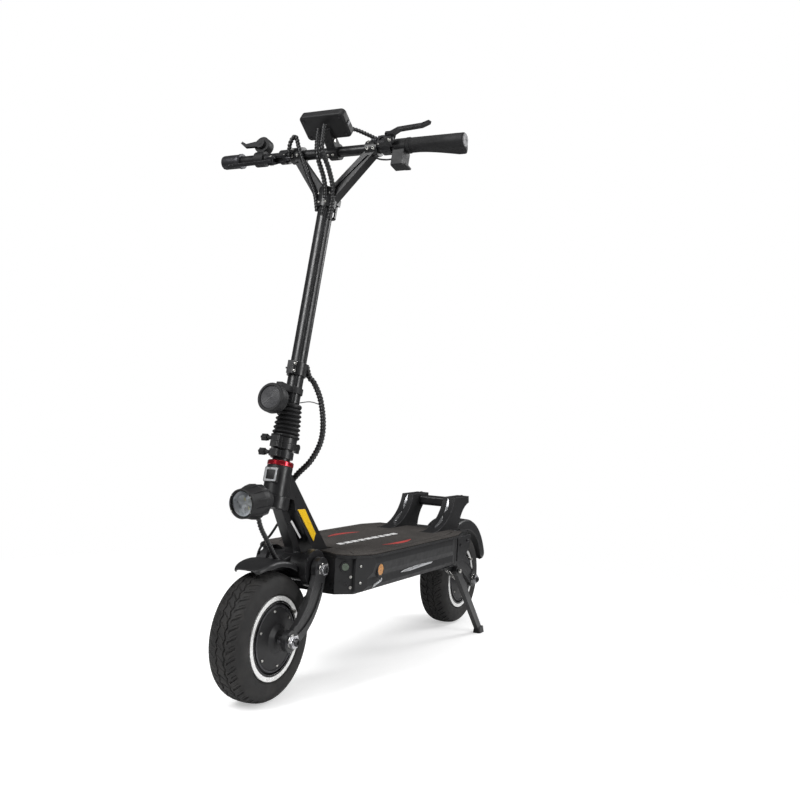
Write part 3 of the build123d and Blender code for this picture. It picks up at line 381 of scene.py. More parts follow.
def bridge(mesh, places, close_loop=False):
    """Faces between rings of places of equal count, and over the end rings of an open run."""
    rings = [[mesh.verts.new(place) for place in ring] for ring in places]
    count = len(rings[0])
    pairs = list(zip(rings, rings[1:]))
    if close_loop:
        pairs.append((rings[-1], rings[0]))
    for low, high in pairs:
        for i in range(count):
            j = (i + 1) % count
            mesh.faces.new((low[i], low[j], high[j], high[i]))
    if not close_loop:
        mesh.faces.new(list(reversed(rings[0])))
        mesh.faces.new(rings[-1])


def turn(mesh, profile, centre, direction, segments, closed=False, shape=None):
    """Turns (radius, height) points in mm round an axis. A closed profile makes a ring.
    shape(angle, radius) may give another radius."""
    along = Vector(direction).normalized()
    axes = side_axes(along)
    rings = []
    for radius, height in profile:
        ring = []
        for angle in circle(segments):
            reach = shape(angle, radius) if shape else radius
            ring.append(centre + (spoke(axes, angle) * reach + along * height) * MM)
        rings.append(ring)
    bridge(mesh, rings, close_loop=closed)


def hexagon(across):
    """Radius of a hexagon of this width across its flats."""

    def reach(angle):
        folded = (angle % (pi / 3)) - pi / 6
        return across / 2 / cos(folded)

    return reach


def cap_screw(mesh, at, direction, radius, height, socket):
    """A round-headed screw with a hexagon socket; its head sits on the surface at the point."""
    flats = hexagon(socket * 2)
    sink = height * 0.35
    profile = [(0.01, sink), (socket, sink), (socket, height), (radius * 0.72, height),
               (radius * 0.93, height * 0.8), (radius, height * 0.45), (radius, -0.4)]
    turn(mesh, profile, at, direction, 24,
         shape=lambda angle, reach: flats(angle) if reach == socket else reach)


def screws(name, finish, body, heads):
    """One piece from cap screws, each given as (place, direction, radius, height, socket)."""
    mesh = bmesh.new()
    for head in heads:
        cap_screw(mesh, *head)
    make(name, mesh, finish, body)


def hex_head(mesh, at, direction, across, height, washer=0.0):
    """A hexagon head, chamfered, on a washer. An endless radius stands for the flats."""
    flats = hexagon(across)
    base = 1.0 if washer else 0.0
    profile = [(0.01, height), (across / 2 * 0.97, height), (inf, height * 0.82), (inf, base)]
    profile += [(washer, base), (washer, -0.4)] if washer else [(inf, -0.4)]
    turn(mesh, profile, at, direction, 36, shape=lambda angle, reach: min(flats(angle), reach))


def smooth_path(points, step):
    """Evenly spaced points, step mm apart, on a curve through these points."""
    ends = [points[0] * 2 - points[1], *points, points[-1] * 2 - points[-2]]
    dense = []
    for before, start, stop, after in zip(ends, ends[1:], ends[2:], ends[3:]):
        pieces = max(2, int((stop - start).length / MM / step * 3))
        for i in range(pieces):
            t = i / pieces
            dense.append(
                (start * 2 + (stop - before) * t + (before * 2 - start * 5 + stop * 4 - after) * t * t
                 + (start * 3 - before - stop * 3 + after) * t ** 3) / 2
            )
    dense.append(points[-1].copy())
    length = sum((b - a).length for a, b in zip(dense, dense[1:]))
    count = max(2, round(length / MM / step))
    spacing = length / count
    path, run, target = [dense[0]], 0.0, spacing
    for a, b in zip(dense, dense[1:]):
        gap = (b - a).length
        while run + gap >= target - 1e-12 and len(path) < count:
            path.append(a.lerp(b, (target - run) / gap))
            target += spacing
        run += gap
    path.append(dense[-1])
    return path


def sweep(mesh, points, radius, segments, step, shape=None):
    """A round bar along a smooth curve. shape(angle, distance in mm) may change its radius."""
    path = smooth_path(points, step)
    side = side_axes(path[1] - path[0])[0]
    rings, run = [], 0.0
    for i, place in enumerate(path):
        ahead = path[min(i + 1, len(path) - 1)] - path[max(i - 1, 0)]
        ahead.normalize()
        side = (side - ahead * side.dot(ahead)).normalized()
        axes = (side, ahead.cross(side))
        if i:
            run += (place - path[i - 1]).length / MM
        ring = []
        for angle in circle(segments):
            reach = shape(angle, run) if shape else radius
            ring.append(place + spoke(axes, angle) * reach * MM)
        rings.append(ring)
    bridge(mesh, rings)


def spiral_wrap(radius):
    """The radius of a hose wound with a flat spiral band; the band covers a share of the pitch."""

    def reach(angle, run):
        turnover = (run / WRAP_PITCH - angle / tau) % 1.0
        rise = min(turnover, WRAP_BAND - turnover) / WRAP_EDGE
        return radius - WRAP_LIFT + WRAP_LIFT * max(0.0, min(1.0, rise))

    return reach


def hose(name, points, radius, body, wrap=False, blend=None):
    """A plain cable or a spiral-wrapped conduit, riding on a body. blend holds two bodies and
    the places where a bend would start and end; only its presence is read, and the piece is then baked in place."""
    mesh = bmesh.new()
    if wrap:
        sweep(mesh, points, radius, 20, 1.0, spiral_wrap(radius))
    else:
        sweep(mesh, points, radius, 12, 3.0)
    thing = make(name, mesh, "conduit_black" if wrap else "hose_black", body)
    if blend:
        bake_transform(thing)


def slab(mesh, outline, origin, across, up, thickness, round_over):
    """A flat plate from (u, v) points in mm, growing along across x up."""
    u_dir = Vector(across).normalized()
    v_dir = Vector(up).normalized()
    out = u_dir.cross(v_dir)
    low = [mesh.verts.new(origin + (u_dir * u + v_dir * v) * MM) for u, v in outline]
    high = [mesh.verts.new(v.co + out * thickness * MM) for v in low]
    mesh.faces.new(list(reversed(low)))
    top = mesh.faces.new(high)
    for i in range(len(low)):
        j = (i + 1) % len(low)
        mesh.faces.new((low[i], low[j], high[j], high[i]))
    bmesh.ops.bevel(mesh, geom=list(top.edges), offset=round_over * MM, segments=3, profile=0.6,
                    affect="EDGES", clamp_overlap=True)


def rounded_box(width, height, corner, steps=5):
    """The outline of a rectangle with round corners, about its middle."""
    points = []
    for k, (sx, sy) in enumerate(((1, 1), (-1, 1), (-1, -1), (1, -1))):
        for i in range(steps + 1):
            angle = pi / 2 * (k + i / steps)
            points.append((sx * (width / 2 - corner) + corner * cos(angle),
                           sy * (height / 2 - corner) + corner * sin(angle)))
    return points


def lens_outline(length, width, bow, steps=16):
    """A pointed stroke: two arcs that meet at sharp tips, bowed sideways."""
    spine = []
    for i in range(steps + 1):
        t = i / steps
        spine.append((length * (t - 0.5), bow * 4 * t * (1 - t), width / 2 * sin(pi * t) ** 0.8))
    return [(x, y + half) for x, y, half in spine] + [(x, y - half) for x, y, half in spine[-2:0:-1]]


# Tyres

TREAD_REPEATS = 40
TREAD_HALF = 31.5
TREAD_LOW_R = 112
WALL_HIGH_R = 106
WALL_Y = 30
TYRE_HALF_WIDTH = 40.0
TYRE_STEPS = 760
SECTION_STEPS = 110
SECTION_LENGTH = 150.0
TYRE_HALF_SECTION = [(74.3, 31.5), (83.6, 31.6), (87.5, 36.5), (94, 39.0), (103, 40), (111, 38.2),
                     (118, 34), (123, 27.6), (126, 20), (127.5, 10), (128, 0)]


def triangle_wave(t):
    return abs((t % 1.0) * 2 - 1) * 2 - 1


def tread_depth(angle, y):
    """How deep the tread is cut at this angle and place across the tyre, in mm. The two halves
    stand half a repeat apart."""
    turns = angle / tau * TREAD_REPEATS
    stagger = 0.0 if y > 0 else 0.5
    reach = abs(y)
    cut = 0.0
    zigzag = 8.5 + 1.9 * triangle_wave(turns + stagger)
    if abs(reach - zigzag) < 1.5:
        cut = 2.8
    lug = (turns - reach * 0.034 + stagger) % 1.0
    if 12.5 < reach < TREAD_HALF and lug < 0.24:
        cut = max(cut, 2.6 * min(1.0, (TREAD_HALF - reach) / 4))
    narrow = (turns - reach * 0.034 + 0.55 + stagger) % 1.0
    if 18.0 < reach < 28.0 and narrow < 0.10:
        cut = max(cut, 1.5)
    if reach < 5.5 and ((turns + y * 0.05) % 1.0) < 0.13:
        cut = max(cut, 1.8)
    return cut


def tyre_section():
    """(radius, y) points evenly spaced over the outside of the tyre, right bead to left bead."""
    left = [Vector((r, y, 0)) * MM for r, y in TYRE_HALF_SECTION]
    right = [Vector((r, -y, 0)) * MM for r, y in reversed(TYRE_HALF_SECTION[:-1])]
    path = smooth_path((left + right)[::-1], SECTION_LENGTH / SECTION_STEPS)
    return [(place.x / MM, place.y / MM) for place in path]


def wall_relief(radius, y):
    """Moulded rings on the side wall, in mm."""
    if abs(y) < WALL_Y:
        return 0.0
    ring = 0.55 if 89.0 < radius < 91.5 else 0.0
    rib = 0.35 * max(0.0, sin((radius - 96) * 1.9)) if 96 < radius < 103 else 0.0
    return ring + rib


def add_tyre(end):
    mesh = bmesh.new()
    rings = []
    section = tyre_section()
    for angle in circle(TYRE_STEPS):
        ring = []
        for radius, y in section:
            reach = radius - (tread_depth(angle, y) if radius > TREAD_LOW_R else 0.0)
            wide = y + (wall_relief(radius, y) * (1 if y > 0 else -1) if radius < WALL_HIGH_R else 0.0)
            wide = min(TYRE_HALF_WIDTH, max(-TYRE_HALF_WIDTH, wide))
            ring.append(AXLES[end] + mm(reach * cos(angle), wide, reach * sin(angle)))
        rings.append(ring)
    bridge(mesh, rings, close_loop=True)
    make(f"{end}_tyre_tread", mesh, "tread_rubber", f"{end}_wheel", 32, replaces=f"{end}_tyre")


for end in AXLES:
    add_tyre(end)

# Wheels

COVER_SCREWS = 6
COVER_SCREW_R = 55.0
COVER_FACE_Y = 36.6
DISC_BOLTS = 5
DISC_BOLT_R = 16.5
DISC_FACE_Y = 53.0
VALVE_ANGLE = radians(138)


def polar(centre, radius, angle, y):
    """A place beside an axle: y in mm across, at a radius and an angle round it."""
    return Vector((centre.x, 0, centre.z)) + mm(radius * cos(angle), y, radius * sin(angle))


def valve_shape(angle, run):
    """A thick foot, a plain neck and a knurled cap."""
    if run < 9:
        return 3.4
    return 3.0 if run < 14 else 3.6 + 0.15 * sin(angle * 12)


for end, axle in AXLES.items():
    wheel = f"{end}_wheel"
    screws(f"{end}_cover_screws", "zinc", wheel,
           [(polar(axle, COVER_SCREW_R, angle, side * COVER_FACE_Y), (0, side, 0), 2.8, 2.0, 1.3)
            for angle in circle(COVER_SCREWS, 0.35) for side in (1, -1)])
    screws(f"{end}_disc_bolts", "black_bolt", wheel,
           [(polar(axle, DISC_BOLT_R, angle, -DISC_FACE_Y), (0, -1, 0), 3.0, 2.2, 1.5)
            for angle in circle(DISC_BOLTS, 0.2)])
    mesh = bmesh.new()
    ring = [(61.5, 34.2), (61.5, 36.4), (62.5, 36.9), (64.4, 36.9), (65.2, 36.0), (65.2, 33.0)]
    turn(mesh, ring, polar(axle, 0, 0, 0), LEFT, 96, closed=True)
    make(f"{end}_cover_ring", mesh, "satin_grey", wheel)
    mesh = bmesh.new()
    bend = ((74.0, 28), (71.5, 33), (69.0, 39), (68.5, 46))
    sweep(mesh, [polar(axle, radius, VALVE_ANGLE, y) for radius, y in bend], 3.0, 16, 1.0, valve_shape)
    make(f"{end}_valve", mesh, "zinc", wheel)

# Boot

BOOT_AT = steer(0, 0, 531.8)
PLEATS = 6
PLEAT_STEPS = 10
PLEATS_LOW, PLEATS_HIGH = 5.6, 61.6

profile = [(15.5, 0.0), (27.6, 0.0), (28.4, 1.2), (28.2, 4.2), (26.4, 5.0)]
for k in range(PLEATS * PLEAT_STEPS + 1):
    t = k / (PLEATS * PLEAT_STEPS)
    wave = (1 - cos(tau * t * PLEATS)) / 2
    belly = 28.2 - 4.4 * t ** 1.3
    profile.append((belly - 4.6 + 4.8 * wave ** 0.7, PLEATS_LOW + (PLEATS_HIGH - PLEATS_LOW) * t))
profile += [(22.0, 62.8), (22.2, 69.0), (21.0, 70.0), (15.5, 70.0)]
mesh = bmesh.new()
turn(mesh, profile, BOOT_AT, UP, 72, closed=True)
make("folding_joint_boot", mesh, "boot_rubber", "stem", 60, replaces="stem_bellows")
mesh = bmesh.new()
for d, radius in ((2.6, 29.0), (66.2, 22.9)):
    ring = [(radius - 1.2, d - 1.3), (radius, d - 1.3), (radius, d + 1.3), (radius - 1.2, d + 1.3)]
    turn(mesh, ring, BOOT_AT, UP, 64, closed=True)
make("boot_ties", mesh, "hose_black", "stem")

# Grips

BAR_CENTRE = steer(0, 0, BAR_D)
WING_ANGLE = radians(310)
GRIP_R = 15.6
GRIP_STEPS = 72


def bar_point(angle, y, reach):
    """A place round the bar; angles run from below to the front."""
    return BAR_CENTRE + (LEFT * y + (-UP * cos(angle) + AHEAD * sin(angle)) * reach) * MM


def grip_mesh(inner_y, outer_y, wing):
    """A grip from inner_y to outer_y along the bar. wing spreads its lower rear side into a palm rest."""
    side = 1 if outer_y > 0 else -1
    length = abs(outer_y - inner_y)
    mesh = bmesh.new()
    rings = []
    for run in range(length + 1):
        collar = 1.2 if run < 7 else 0.0
        groove = 0.7 if 7 <= run < 9 else 0.0
        rib = 0.315 * max(0.0, sin(run * 1.5)) if 12 < run < length - 12 else 0.0
        end_round = 1 - max(0.0, (run - length + 3) / 3) ** 2 * 0.16
        spread = wing * min(1.0, max(0.0, (run - 22) / max(1.0, length - 40))) ** 1.3
        tip = 1 - max(0.0, (run - length + 6) / 6) ** 3 * 0.5
        ring = []
        for angle in circle(GRIP_STEPS):
            down = ((angle - WING_ANGLE + pi) % tau) - pi
            reach = (GRIP_R + collar - groove) * end_round
            if abs(down) > 0.6:
                reach += rib
            reach += spread * exp(-((down / 0.42) ** 2)) * tip
            ring.append(bar_point(angle, side * (abs(inner_y) + run), reach))
        rings.append(ring)
    for y in (outer_y, inner_y):
        rings.append([bar_point(angle, y, BAR_R + 0.3) for angle in circle(GRIP_STEPS)])
    bridge(mesh, rings, close_loop=True)
    return mesh


make("left_grip_with_palm_rest", grip_mesh(176, 305, 13.0), "grip_rubber", "stem", 50, replaces="grip_left")
make("right_grip_barrel", grip_mesh(-248, -299, 0.0), "satin_grey", "stem", 50, "grip_right")
for name, side, outer, radius in (("left_end_cap", 1, 305, 13.4), ("right_end_cap", -1, -299, 14.6)):
    mesh = bmesh.new()
    profile = [(0.01, -6.0), (BAR_R - 1.8, -6.0), (BAR_R - 1.8, 0.1), (radius, 0.1), (radius, 0.5),
               (radius - 1.6, 1.0), (3.0, 1.0), (2.4, 0.6), (0.01, 0.6)]
    turn(mesh, profile, BAR_CENTRE + LEFT * outer * MM, LEFT * side, 48)
    make(name, mesh, "pale_cap", "stem")

# Deck

DECK_FRONT = 315
DECK_REAR = -248
MAT_HALF = 140
MAT_LOW_Z = 281
MAT_Z = 284
PRINT_SINK = 0.3
STEER_CLEAR_X = 456.9
STEER_CLEAR_R = 160.0
STEER_CLEAR_SLOPE = 1.0247


def flat_piece(loops, low_z, thickness, round_over):
    """A flat plate with rounded edges over closed loops of (x, y) points in mm; inner loops are
    holes."""
    curve = bpy.data.curves.new("flat_outline", "CURVE")
    curve.dimensions = "2D"
    curve.fill_mode = "BOTH"
    curve.extrude = (thickness / 2 - round_over) * MM
    curve.bevel_depth = round_over * MM
    curve.offset = -round_over * MM
    curve.bevel_resolution = 2
    for loop in loops:
        spline = curve.splines.new("POLY")
        spline.points.add(len(loop) - 1)
        for point, (x, y) in zip(spline.points, loop):
            point.co = (x * MM, y * MM, 0, 1)
        spline.use_cyclic_u = True
    holder = bpy.data.objects.new("flat_outline", curve)
    bpy.context.scene.collection.objects.link(holder)
    bpy.context.view_layer.update()
    data = bpy.data.meshes.new_from_object(holder)
    mesh = bmesh.new()
    mesh.from_mesh(data)
    bmesh.ops.translate(mesh, verts=mesh.verts, vec=(0, 0, (low_z + thickness / 2) * MM))
    bmesh.ops.remove_doubles(mesh, verts=mesh.verts, dist=1e-6)
    bpy.data.objects.remove(holder)
    bpy.data.curves.remove(curve)
    bpy.data.meshes.remove(data)
    return mesh


def ribbon(points, width):
    """A closed loop of constant width along (x, y) points."""
    path = smooth_path([mm(x, y, 0) for x, y in points], 4.0)
    left, right = [], []
    for i, place in enumerate(path):
        ahead = path[min(i + 1, len(path) - 1)] - path[max(i - 1, 0)]
        out = Vector((-ahead.y, ahead.x, 0)).normalized() * width / 2
        here = place / MM
        left.append((here.x + out.x, here.y + out.y))
        right.append((here.x - out.x, here.y - out.y))
    return left + right[::-1]


def placed(outline, x, y, angle):
    """An outline turned by an angle in degrees and moved to (x, y)."""
    c, s = cos(radians(angle)), sin(radians(angle))
    return [(x + u * c - v * s, y + u * s + v * c) for u, v in outline]


def mat_outline():
    """The deck plan, cut back for the swing of the fork in front and notched for the footrest
    uprights behind."""
    half = MAT_HALF
    swing_cut = [(STEER_CLEAR_X - STEER_CLEAR_SLOPE * sqrt(STEER_CLEAR_R ** 2 - y * y), y)
                 for y in (80, 76, 70, 62, 54, 46, 38, 29.5)]
    front = [(DECK_FRONT - 84, half), (DECK_FRONT - 64, half - 1), (DECK_FRONT - 48, half - 5),
             (DECK_FRONT - 33, half - 12), (DECK_FRONT - 20, half - 21), (DECK_FRONT - 11, half - 31),
             (DECK_FRONT - 5, half - 42), (DECK_FRONT - 1, half - 56), *swing_cut, (241, 29.5)]
    back = [(DECK_REAR, 40), (-152, 40), (-152, 82), (DECK_REAR, 82), (DECK_REAR, half - 20),
            (DECK_REAR + 70, half)]
    left = back + front
    return left + [(x, -y) for x, y in reversed(left)]


# Grip mat and its prints
grooves = []
border = [(252, 40), (258, 72), (252, 98), (228, 115), (180, 121), (0, 121), (-150, 119), (-222, 104)]
for side in (1, -1):
    for line, width in ((border, 3.0), ([(270, 88), (284, 103), (291, 112)], 2.4)):
        grooves.append(ribbon([(x, y * side) for x, y in line], width))
make("deck_grip_mat", flat_piece([mat_outline(), *grooves], MAT_LOW_Z, MAT_Z - MAT_LOW_Z, 0.9),
     "mat_rubber", "frame", 50, replaces="deck_mat")
dashes = []
for k in range(9):
    length = 24.5 if k % 3 else 20.0
    block = [(-length / 2 - 3, -7.5), (length / 2 - 3, -7.5), (length / 2 + 3, 7.5), (3 - length / 2, 7.5)]
    dashes.append(placed(block, 184 - k * 30.6, 14 + k * 0.6, 178.8))
make("mat_white_dashes", flat_piece(dashes, MAT_Z - PRINT_SINK, 0.8, 0.2), "white_print", "frame")
strokes = [placed(lens_outline(134, 13, 10), 40, -63, 176), placed(lens_outline(140, 13, -10), 58, 90, 179)]
make("mat_red_strokes", flat_piece(strokes, MAT_Z - PRINT_SINK, 0.8, 0.2), "red_print", "frame")


def face_strip(mesh, path, y, width):
    """A tapering inlay along a curved face that spans Y; path holds (x, z) points in mm."""
    places = smooth_path([mm(x, 0, z) for x, z in path], 2.0)
    last = len(places) - 1
    rings = []
    for i, place in enumerate(places):
        ahead = places[min(i + 1, last)] - places[max(i - 1, 0)]
        out = Vector((ahead.z, 0, -ahead.x)).normalized()
        if out.x < 0:
            out = -out
        half = width / 2 * max(0.08, sin(pi * i / last) ** 0.6)
        middle = y + (1 if y > 0 else -1) * 2.5 * sin(pi * i / last)
        ring = ((-half, -3), (-half * 0.8, 1.9), (half * 0.8, 1.9), (half, -3))
        rings.append([place + (LEFT * (middle + v) + out * w) * MM for v, w in ring])
    bridge(mesh, rings)


# Inlays, trims, reflectors, charge port and screws
mesh = bmesh.new()
for y in (60, -60):
    face_strip(mesh, [(-266, 324.5), (-279, 340), (-289, 361)], y, 8)
    face_strip(mesh, [(-211, 291), (-235, 301.5), (-258, 317)], y, 8)
make("footrest_inlays", mesh, "silver_alloy", "frame")
mesh = bmesh.new()
for side in (1, -1):
    across = (-side, 0, 0)
    strip = [(116, 226), (70, 224.5), (-44, 228), (-52, 231.5), (20, 233), (96, 230)]
    wedge = [(246, 211), (240, 218), (203, 226), (209, 219)]
    for outline, y in ((strip, 131.2), (wedge, 132.0)):
        flat = [(-side * x, z) for x, z in outline]
        if side > 0:
            flat.reverse()
        slab(mesh, flat, mm(0, side * y, 0), across, (0, 0, 1), 2.0, 0.4)
make("panel_trims", mesh, "silver_alloy", "frame")
mesh = bmesh.new()
for side in (1, -1):
    ring = [(11.9, -6.0), (15.2, -6.0), (15.2, 2.4), (14.2, 3.4), (12.6, 3.4), (11.9, 2.6)]
    turn(mesh, ring, mm(226, side * 137.6, 247), LEFT * side, 48, closed=True)
make("reflector_bezels", mesh, "black_plastic", "frame")
mesh = bmesh.new()
cap = [(0.01, 2.6), (1.6, 2.6), (2.2, 3.4), (4.6, 3.4), (5.6, 4.0), (6.8, 4.0), (7.6, 3.2), (7.6, 2.5),
       (5.8, 2.3), (5.8, -3.0), (0.01, -3.0)]
notch = hexagon(11.2)
turn(mesh, cap, mm(303, 97, 257), (1, 1, 0), 48,
     shape=lambda angle, reach: min(notch(angle), 6.0) if reach == 5.6 else reach)
make("charge_port_cap", mesh, "port_green", "frame")
flank, cheek, tail = [], [], []
for side in (1, -1):
    flank += [(mm(283, side * 123.4, z), (0.49, 0.87 * side, 0), 2.6, 2.0, 1.3) for z in (259, 224)]
    flank += [(mm(294, side * 106, z), (0.7071, 0.7071 * side, 0), 3.2, 2.4, 1.6) for z in (236, 214)]
    cheek += [(mm(x, side * 112, z), LEFT * side, 4.0, 2.6, 2.0) for x, z in ((-264, 246), (-306, 254))]
    tail += [(mm(x, side * y, 281), (0, 0, 1), 3.2, 2.2, 1.6)
             for x, y in ((-262, 96), (-300, 92), (-286, 60))]
    tail += [(mm(x, side * 61, 364), (0, 0, 1), 3.2, 2.0, 1.6) for x in (-317, -374)]
screws("side_screws", "zinc", "frame", flank)
screws("cheek_screws", "black_bolt", "frame", cheek)
screws("tail_screws", "black_bolt", "frame", tail)

# Kickstand
pivot = joint_at("kickstand_swing")
mesh = bmesh.new()
hex_head(mesh, polar(pivot, 0, 0, 134), LEFT, 10, 4.5, 8.5)
make("stand_pivot_nut", mesh, "zinc", "frame")
start, end = mm(-176, 114, 193), mm(-246, 116, 158)
along = (end - start).normalized()
axes = side_axes(along)
length = (end - start).length / MM
turns, steps = 17, 12
coil_r, wire_r = 3.4, 0.75
coil = []
for i in range(turns * steps + 1):
    t = i / (turns * steps)
    coil.append(start + along * length * t * MM + spoke(axes, tau * turns * t) * coil_r * MM)
mesh = bmesh.new()
sweep(mesh, coil, wire_r, 8, 1.2)
spring = make("stand_spring", mesh, "zinc", None, 60)
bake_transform(spring)

# Lamp, horn and badge

LAMP_AT = steer(28, 0, 402)
LAMP_DIR = Vector((1, 0, -0.06)).normalized()
LAMP_CUP_R = 10.8
LAMP_RIBS = 12
HORN_D = 598
GRILLE_R = 23.0
GRILLE_RINGS = 60
BADGE_D = 452

# Headlight
mesh = bmesh.new()
bowl = [(0.01, 48), (9.5, 48), (18, 52), (22.6, 60), (24.3, 70.7), (24.9, 70.7), (24.9, 67), (23.2, 58),
        (18, 49.5), (9, 45.5), (0.01, 45.5)]
turn(mesh, bowl, LAMP_AT, LAMP_DIR, 64)
axes = side_axes(LAMP_DIR)
cups = [spoke(axes, pi / 2 + tau * k / 3) * LAMP_CUP_R for k in range(3)]
for cup in cups:
    wall = [(4.0, 50), (8.8, 64), (9.8, 64), (5.0, 49)]
    turn(mesh, wall, LAMP_AT + cup * MM, LAMP_DIR, 32, closed=True)
# The reflector takes the near-white finish, a painted reflection.
make("lamp_reflector", mesh, "lamp_silver_painted_bright", "fork")
mesh = bmesh.new()
for cup in cups:
    chip = [(0.01, 48), (4.2, 48), (4.2, 51), (2.6, 53.4), (0.01, 54)]
    turn(mesh, chip, LAMP_AT + cup * MM, LAMP_DIR, 24)
make("lamp_chips", mesh, "lamp_chip", "fork")
mesh = bmesh.new()
bezel = [(24.7, 77.2), (24.7, 80.6), (25.3, 81.6), (27.6, 81.6), (28.9, 80.2), (29.1, 76.6), (28.0, 75.6),
         (28.0, 77.2)]
turn(mesh, bezel, LAMP_AT, LAMP_DIR, 72, closed=True)
rib = [(10, 19, 23.8, 0.6), (16, 22, 27.6, 1.9), (26, 28, 33.4, 2.3), (44, 30, 35.2, 2.4),
       (58, 29, 33.2, 1.9), (68, 27, 30.6, 0.6)]
for angle in circle(LAMP_RIBS, 0.5):
    out = spoke(axes, angle)
    rings = []
    for level, low, high, half in rib:
        width = out.cross(LAMP_DIR) * half
        at = LAMP_AT + LAMP_DIR * level * MM
        corners = (out * low - width, out * high - width * 0.6, out * high + width * 0.6, out * low + width)
        rings.append([at + corner * MM for corner in corners])
    bridge(mesh, rings)
make("lamp_bezel_and_ribs", mesh, "black_plastic", "fork")
screws("lamp_screws", "zinc", "fork",
       [(LAMP_AT + (spoke(axes, angle) * 26.5 + LAMP_DIR * 81.5) * MM, LAMP_DIR, 1.1, 0.6, 0.5)
        for angle in (0.6, 2.54, 3.74, 5.68)])

# Horn
centre = steer(0, 0, HORN_D)
mesh = bmesh.new()
rim = [(22.8, 70), (22.8, 76), (24.0, 78.2), (27.6, 78.2), (29.6, 76.0), (30.0, 72.0), (30.0, 60),
       (28.0, 57), (28.0, 70)]
turn(mesh, rim, centre, AHEAD, 72, closed=True)
make("horn_rim", mesh, "black_plastic", "stem")
mesh = bmesh.new()
plate = [(0.01, 76.4)]
for k in range(1, GRILLE_RINGS):
    radius = k * GRILLE_R / GRILLE_RINGS
    plate.append((radius, 76.4 - radius * 0.03 + 0.35 * sin(radius * tau / 2.6)))
plate += [(GRILLE_R, 75.4), (GRILLE_R, 73.4), (0.01, 73.4)]
turn(mesh, plate, centre, AHEAD, 72)
make("horn_grille", mesh, "horn_grey", "stem")
mesh = bmesh.new()
for k in range(5):
    angle = radians(-64 + 32 * k)
    out = spoke((LEFT, UP), angle)
    at = centre + (out * 29.6 + AHEAD * 66) * MM
    slab(mesh, rounded_box(4.2, 11, 1.9, 4), at, out.cross(AHEAD), AHEAD, 1.0, 0.3)
make("horn_vents", mesh, "satin_grey", "stem")
screws("horn_bracket_screws", "zinc", "stem",
       [(steer(51, 0, HORN_D + rise), AHEAD, 2.8, 2.0, 1.4) for rise in (9, 30)])

# Badge, and two strips on the fork
mesh = bmesh.new()
slab(mesh, rounded_box(32, 31, 3), steer(17, 0, BADGE_D), LEFT, UP, 10.6, 1.2)
make("badge_seat", mesh, "black_paint", "frame")
mesh = bmesh.new()
face = steer(27.2, 0, BADGE_D)
outer = rounded_box(28.5, 27.5, 2.5, 5)
inner = rounded_box(20.5, 19.5, 2.0, 5)
rings = []
for outline, level in ((outer, 0), (outer, 1.5), (inner, 1.5), (inner, 0)):
    rings.append([face + (LEFT * u + UP * v + AHEAD * level) * MM for u, v in outline])
bridge(mesh, rings, close_loop=True)
make("badge_frame", mesh, "silver_alloy", "frame")
mesh = bmesh.new()
slab(mesh, rounded_box(21, 20, 2), steer(27.2, 0, BADGE_D), LEFT, UP, 0.6, 0.2)
slab(mesh, rounded_box(9, 9, 1), steer(27.6, 0, BADGE_D), LEFT, UP, 1.1, 0.4)
make("badge_plate", mesh, "black_plastic", "frame")
mesh = bmesh.new()
for side in (1, -1):
    start, end = mm(384, side * 11, 351), mm(346, side * 11, 312)
    along = (end - start).normalized() * -side
    up = (LEFT * side).cross(along)
    slab(mesh, [(-28, -2.6), (26, -2.6), (28, 2.6), (-26, 2.6)], (start + end) / 2, along, up, 0.9, 0.3)
make("fork_strips", mesh, "white_print", "fork")

# Display and bar fittings

SCREEN_TILT = radians(38)
SCREEN_RISE = Vector((cos(SCREEN_TILT), 0, sin(SCREEN_TILT)))
SCREEN_OUT = Vector((-sin(SCREEN_TILT), 0, cos(SCREEN_TILT)))
SCREEN_AT = steer(53, 0, 1203)
BRAKES = ((1, 12.0), (-1, -38.0))
LEAN = 12.6


def screen_point(rise, y, out):
    return SCREEN_AT + (SCREEN_RISE * rise + LEFT * y + SCREEN_OUT * out) * MM


# Display
mesh = bmesh.new()
outer = rounded_box(56, 104, 8, 6)
inner = rounded_box(46, 84, 5, 6)
rings = []
for outline, level, shift in ((outer, 8.6, 0), (outer, 10.0, 0), (inner, 10.4, 5), (inner, 8.6, 5)):
    rings.append([screen_point(u, v + shift, level) for u, v in outline])
bridge(mesh, rings, close_loop=True)
make("display_bezel", mesh, "black_plastic", "stem")
mesh = bmesh.new()
slab(mesh, inner, screen_point(0, 5, 8.8), SCREEN_RISE, LEFT, 1.2, 0.3)
make("display_glass", mesh, "screen_glass", "stem")
mesh = bmesh.new()
for rise in (14, 0, -14):
    slab(mesh, rounded_box(9, 5, 2.2, 4), screen_point(rise, -44.5, 9.6), SCREEN_RISE, LEFT, 1.6, 0.5)
slab(mesh, rounded_box(14, 7, 2.2, 4), screen_point(0, 54, 0), SCREEN_OUT, SCREEN_RISE, 1.6, 0.5)
make("display_buttons", mesh, "satin_grey", "stem")
screws("display_case_screws", "black_bolt", "stem",
       [(screen_point(rise, y, -9), -SCREEN_OUT, 2.4, 1.6, 1.2) for rise in (20, -20) for y in (44, -44)])
mesh = bmesh.new()
for y in (6, -6):
    cap_screw(mesh, steer(19, y, 1151), AHEAD - UP * 0.4, 2.8, 2.4, 1.5)
for y in (11, -11):
    hex_head(mesh, steer(31, y, 1177), LEFT * (1 if y > 0 else -1), 7, 3.2)
make("display_mount_screws", mesh, "zinc", "stem")

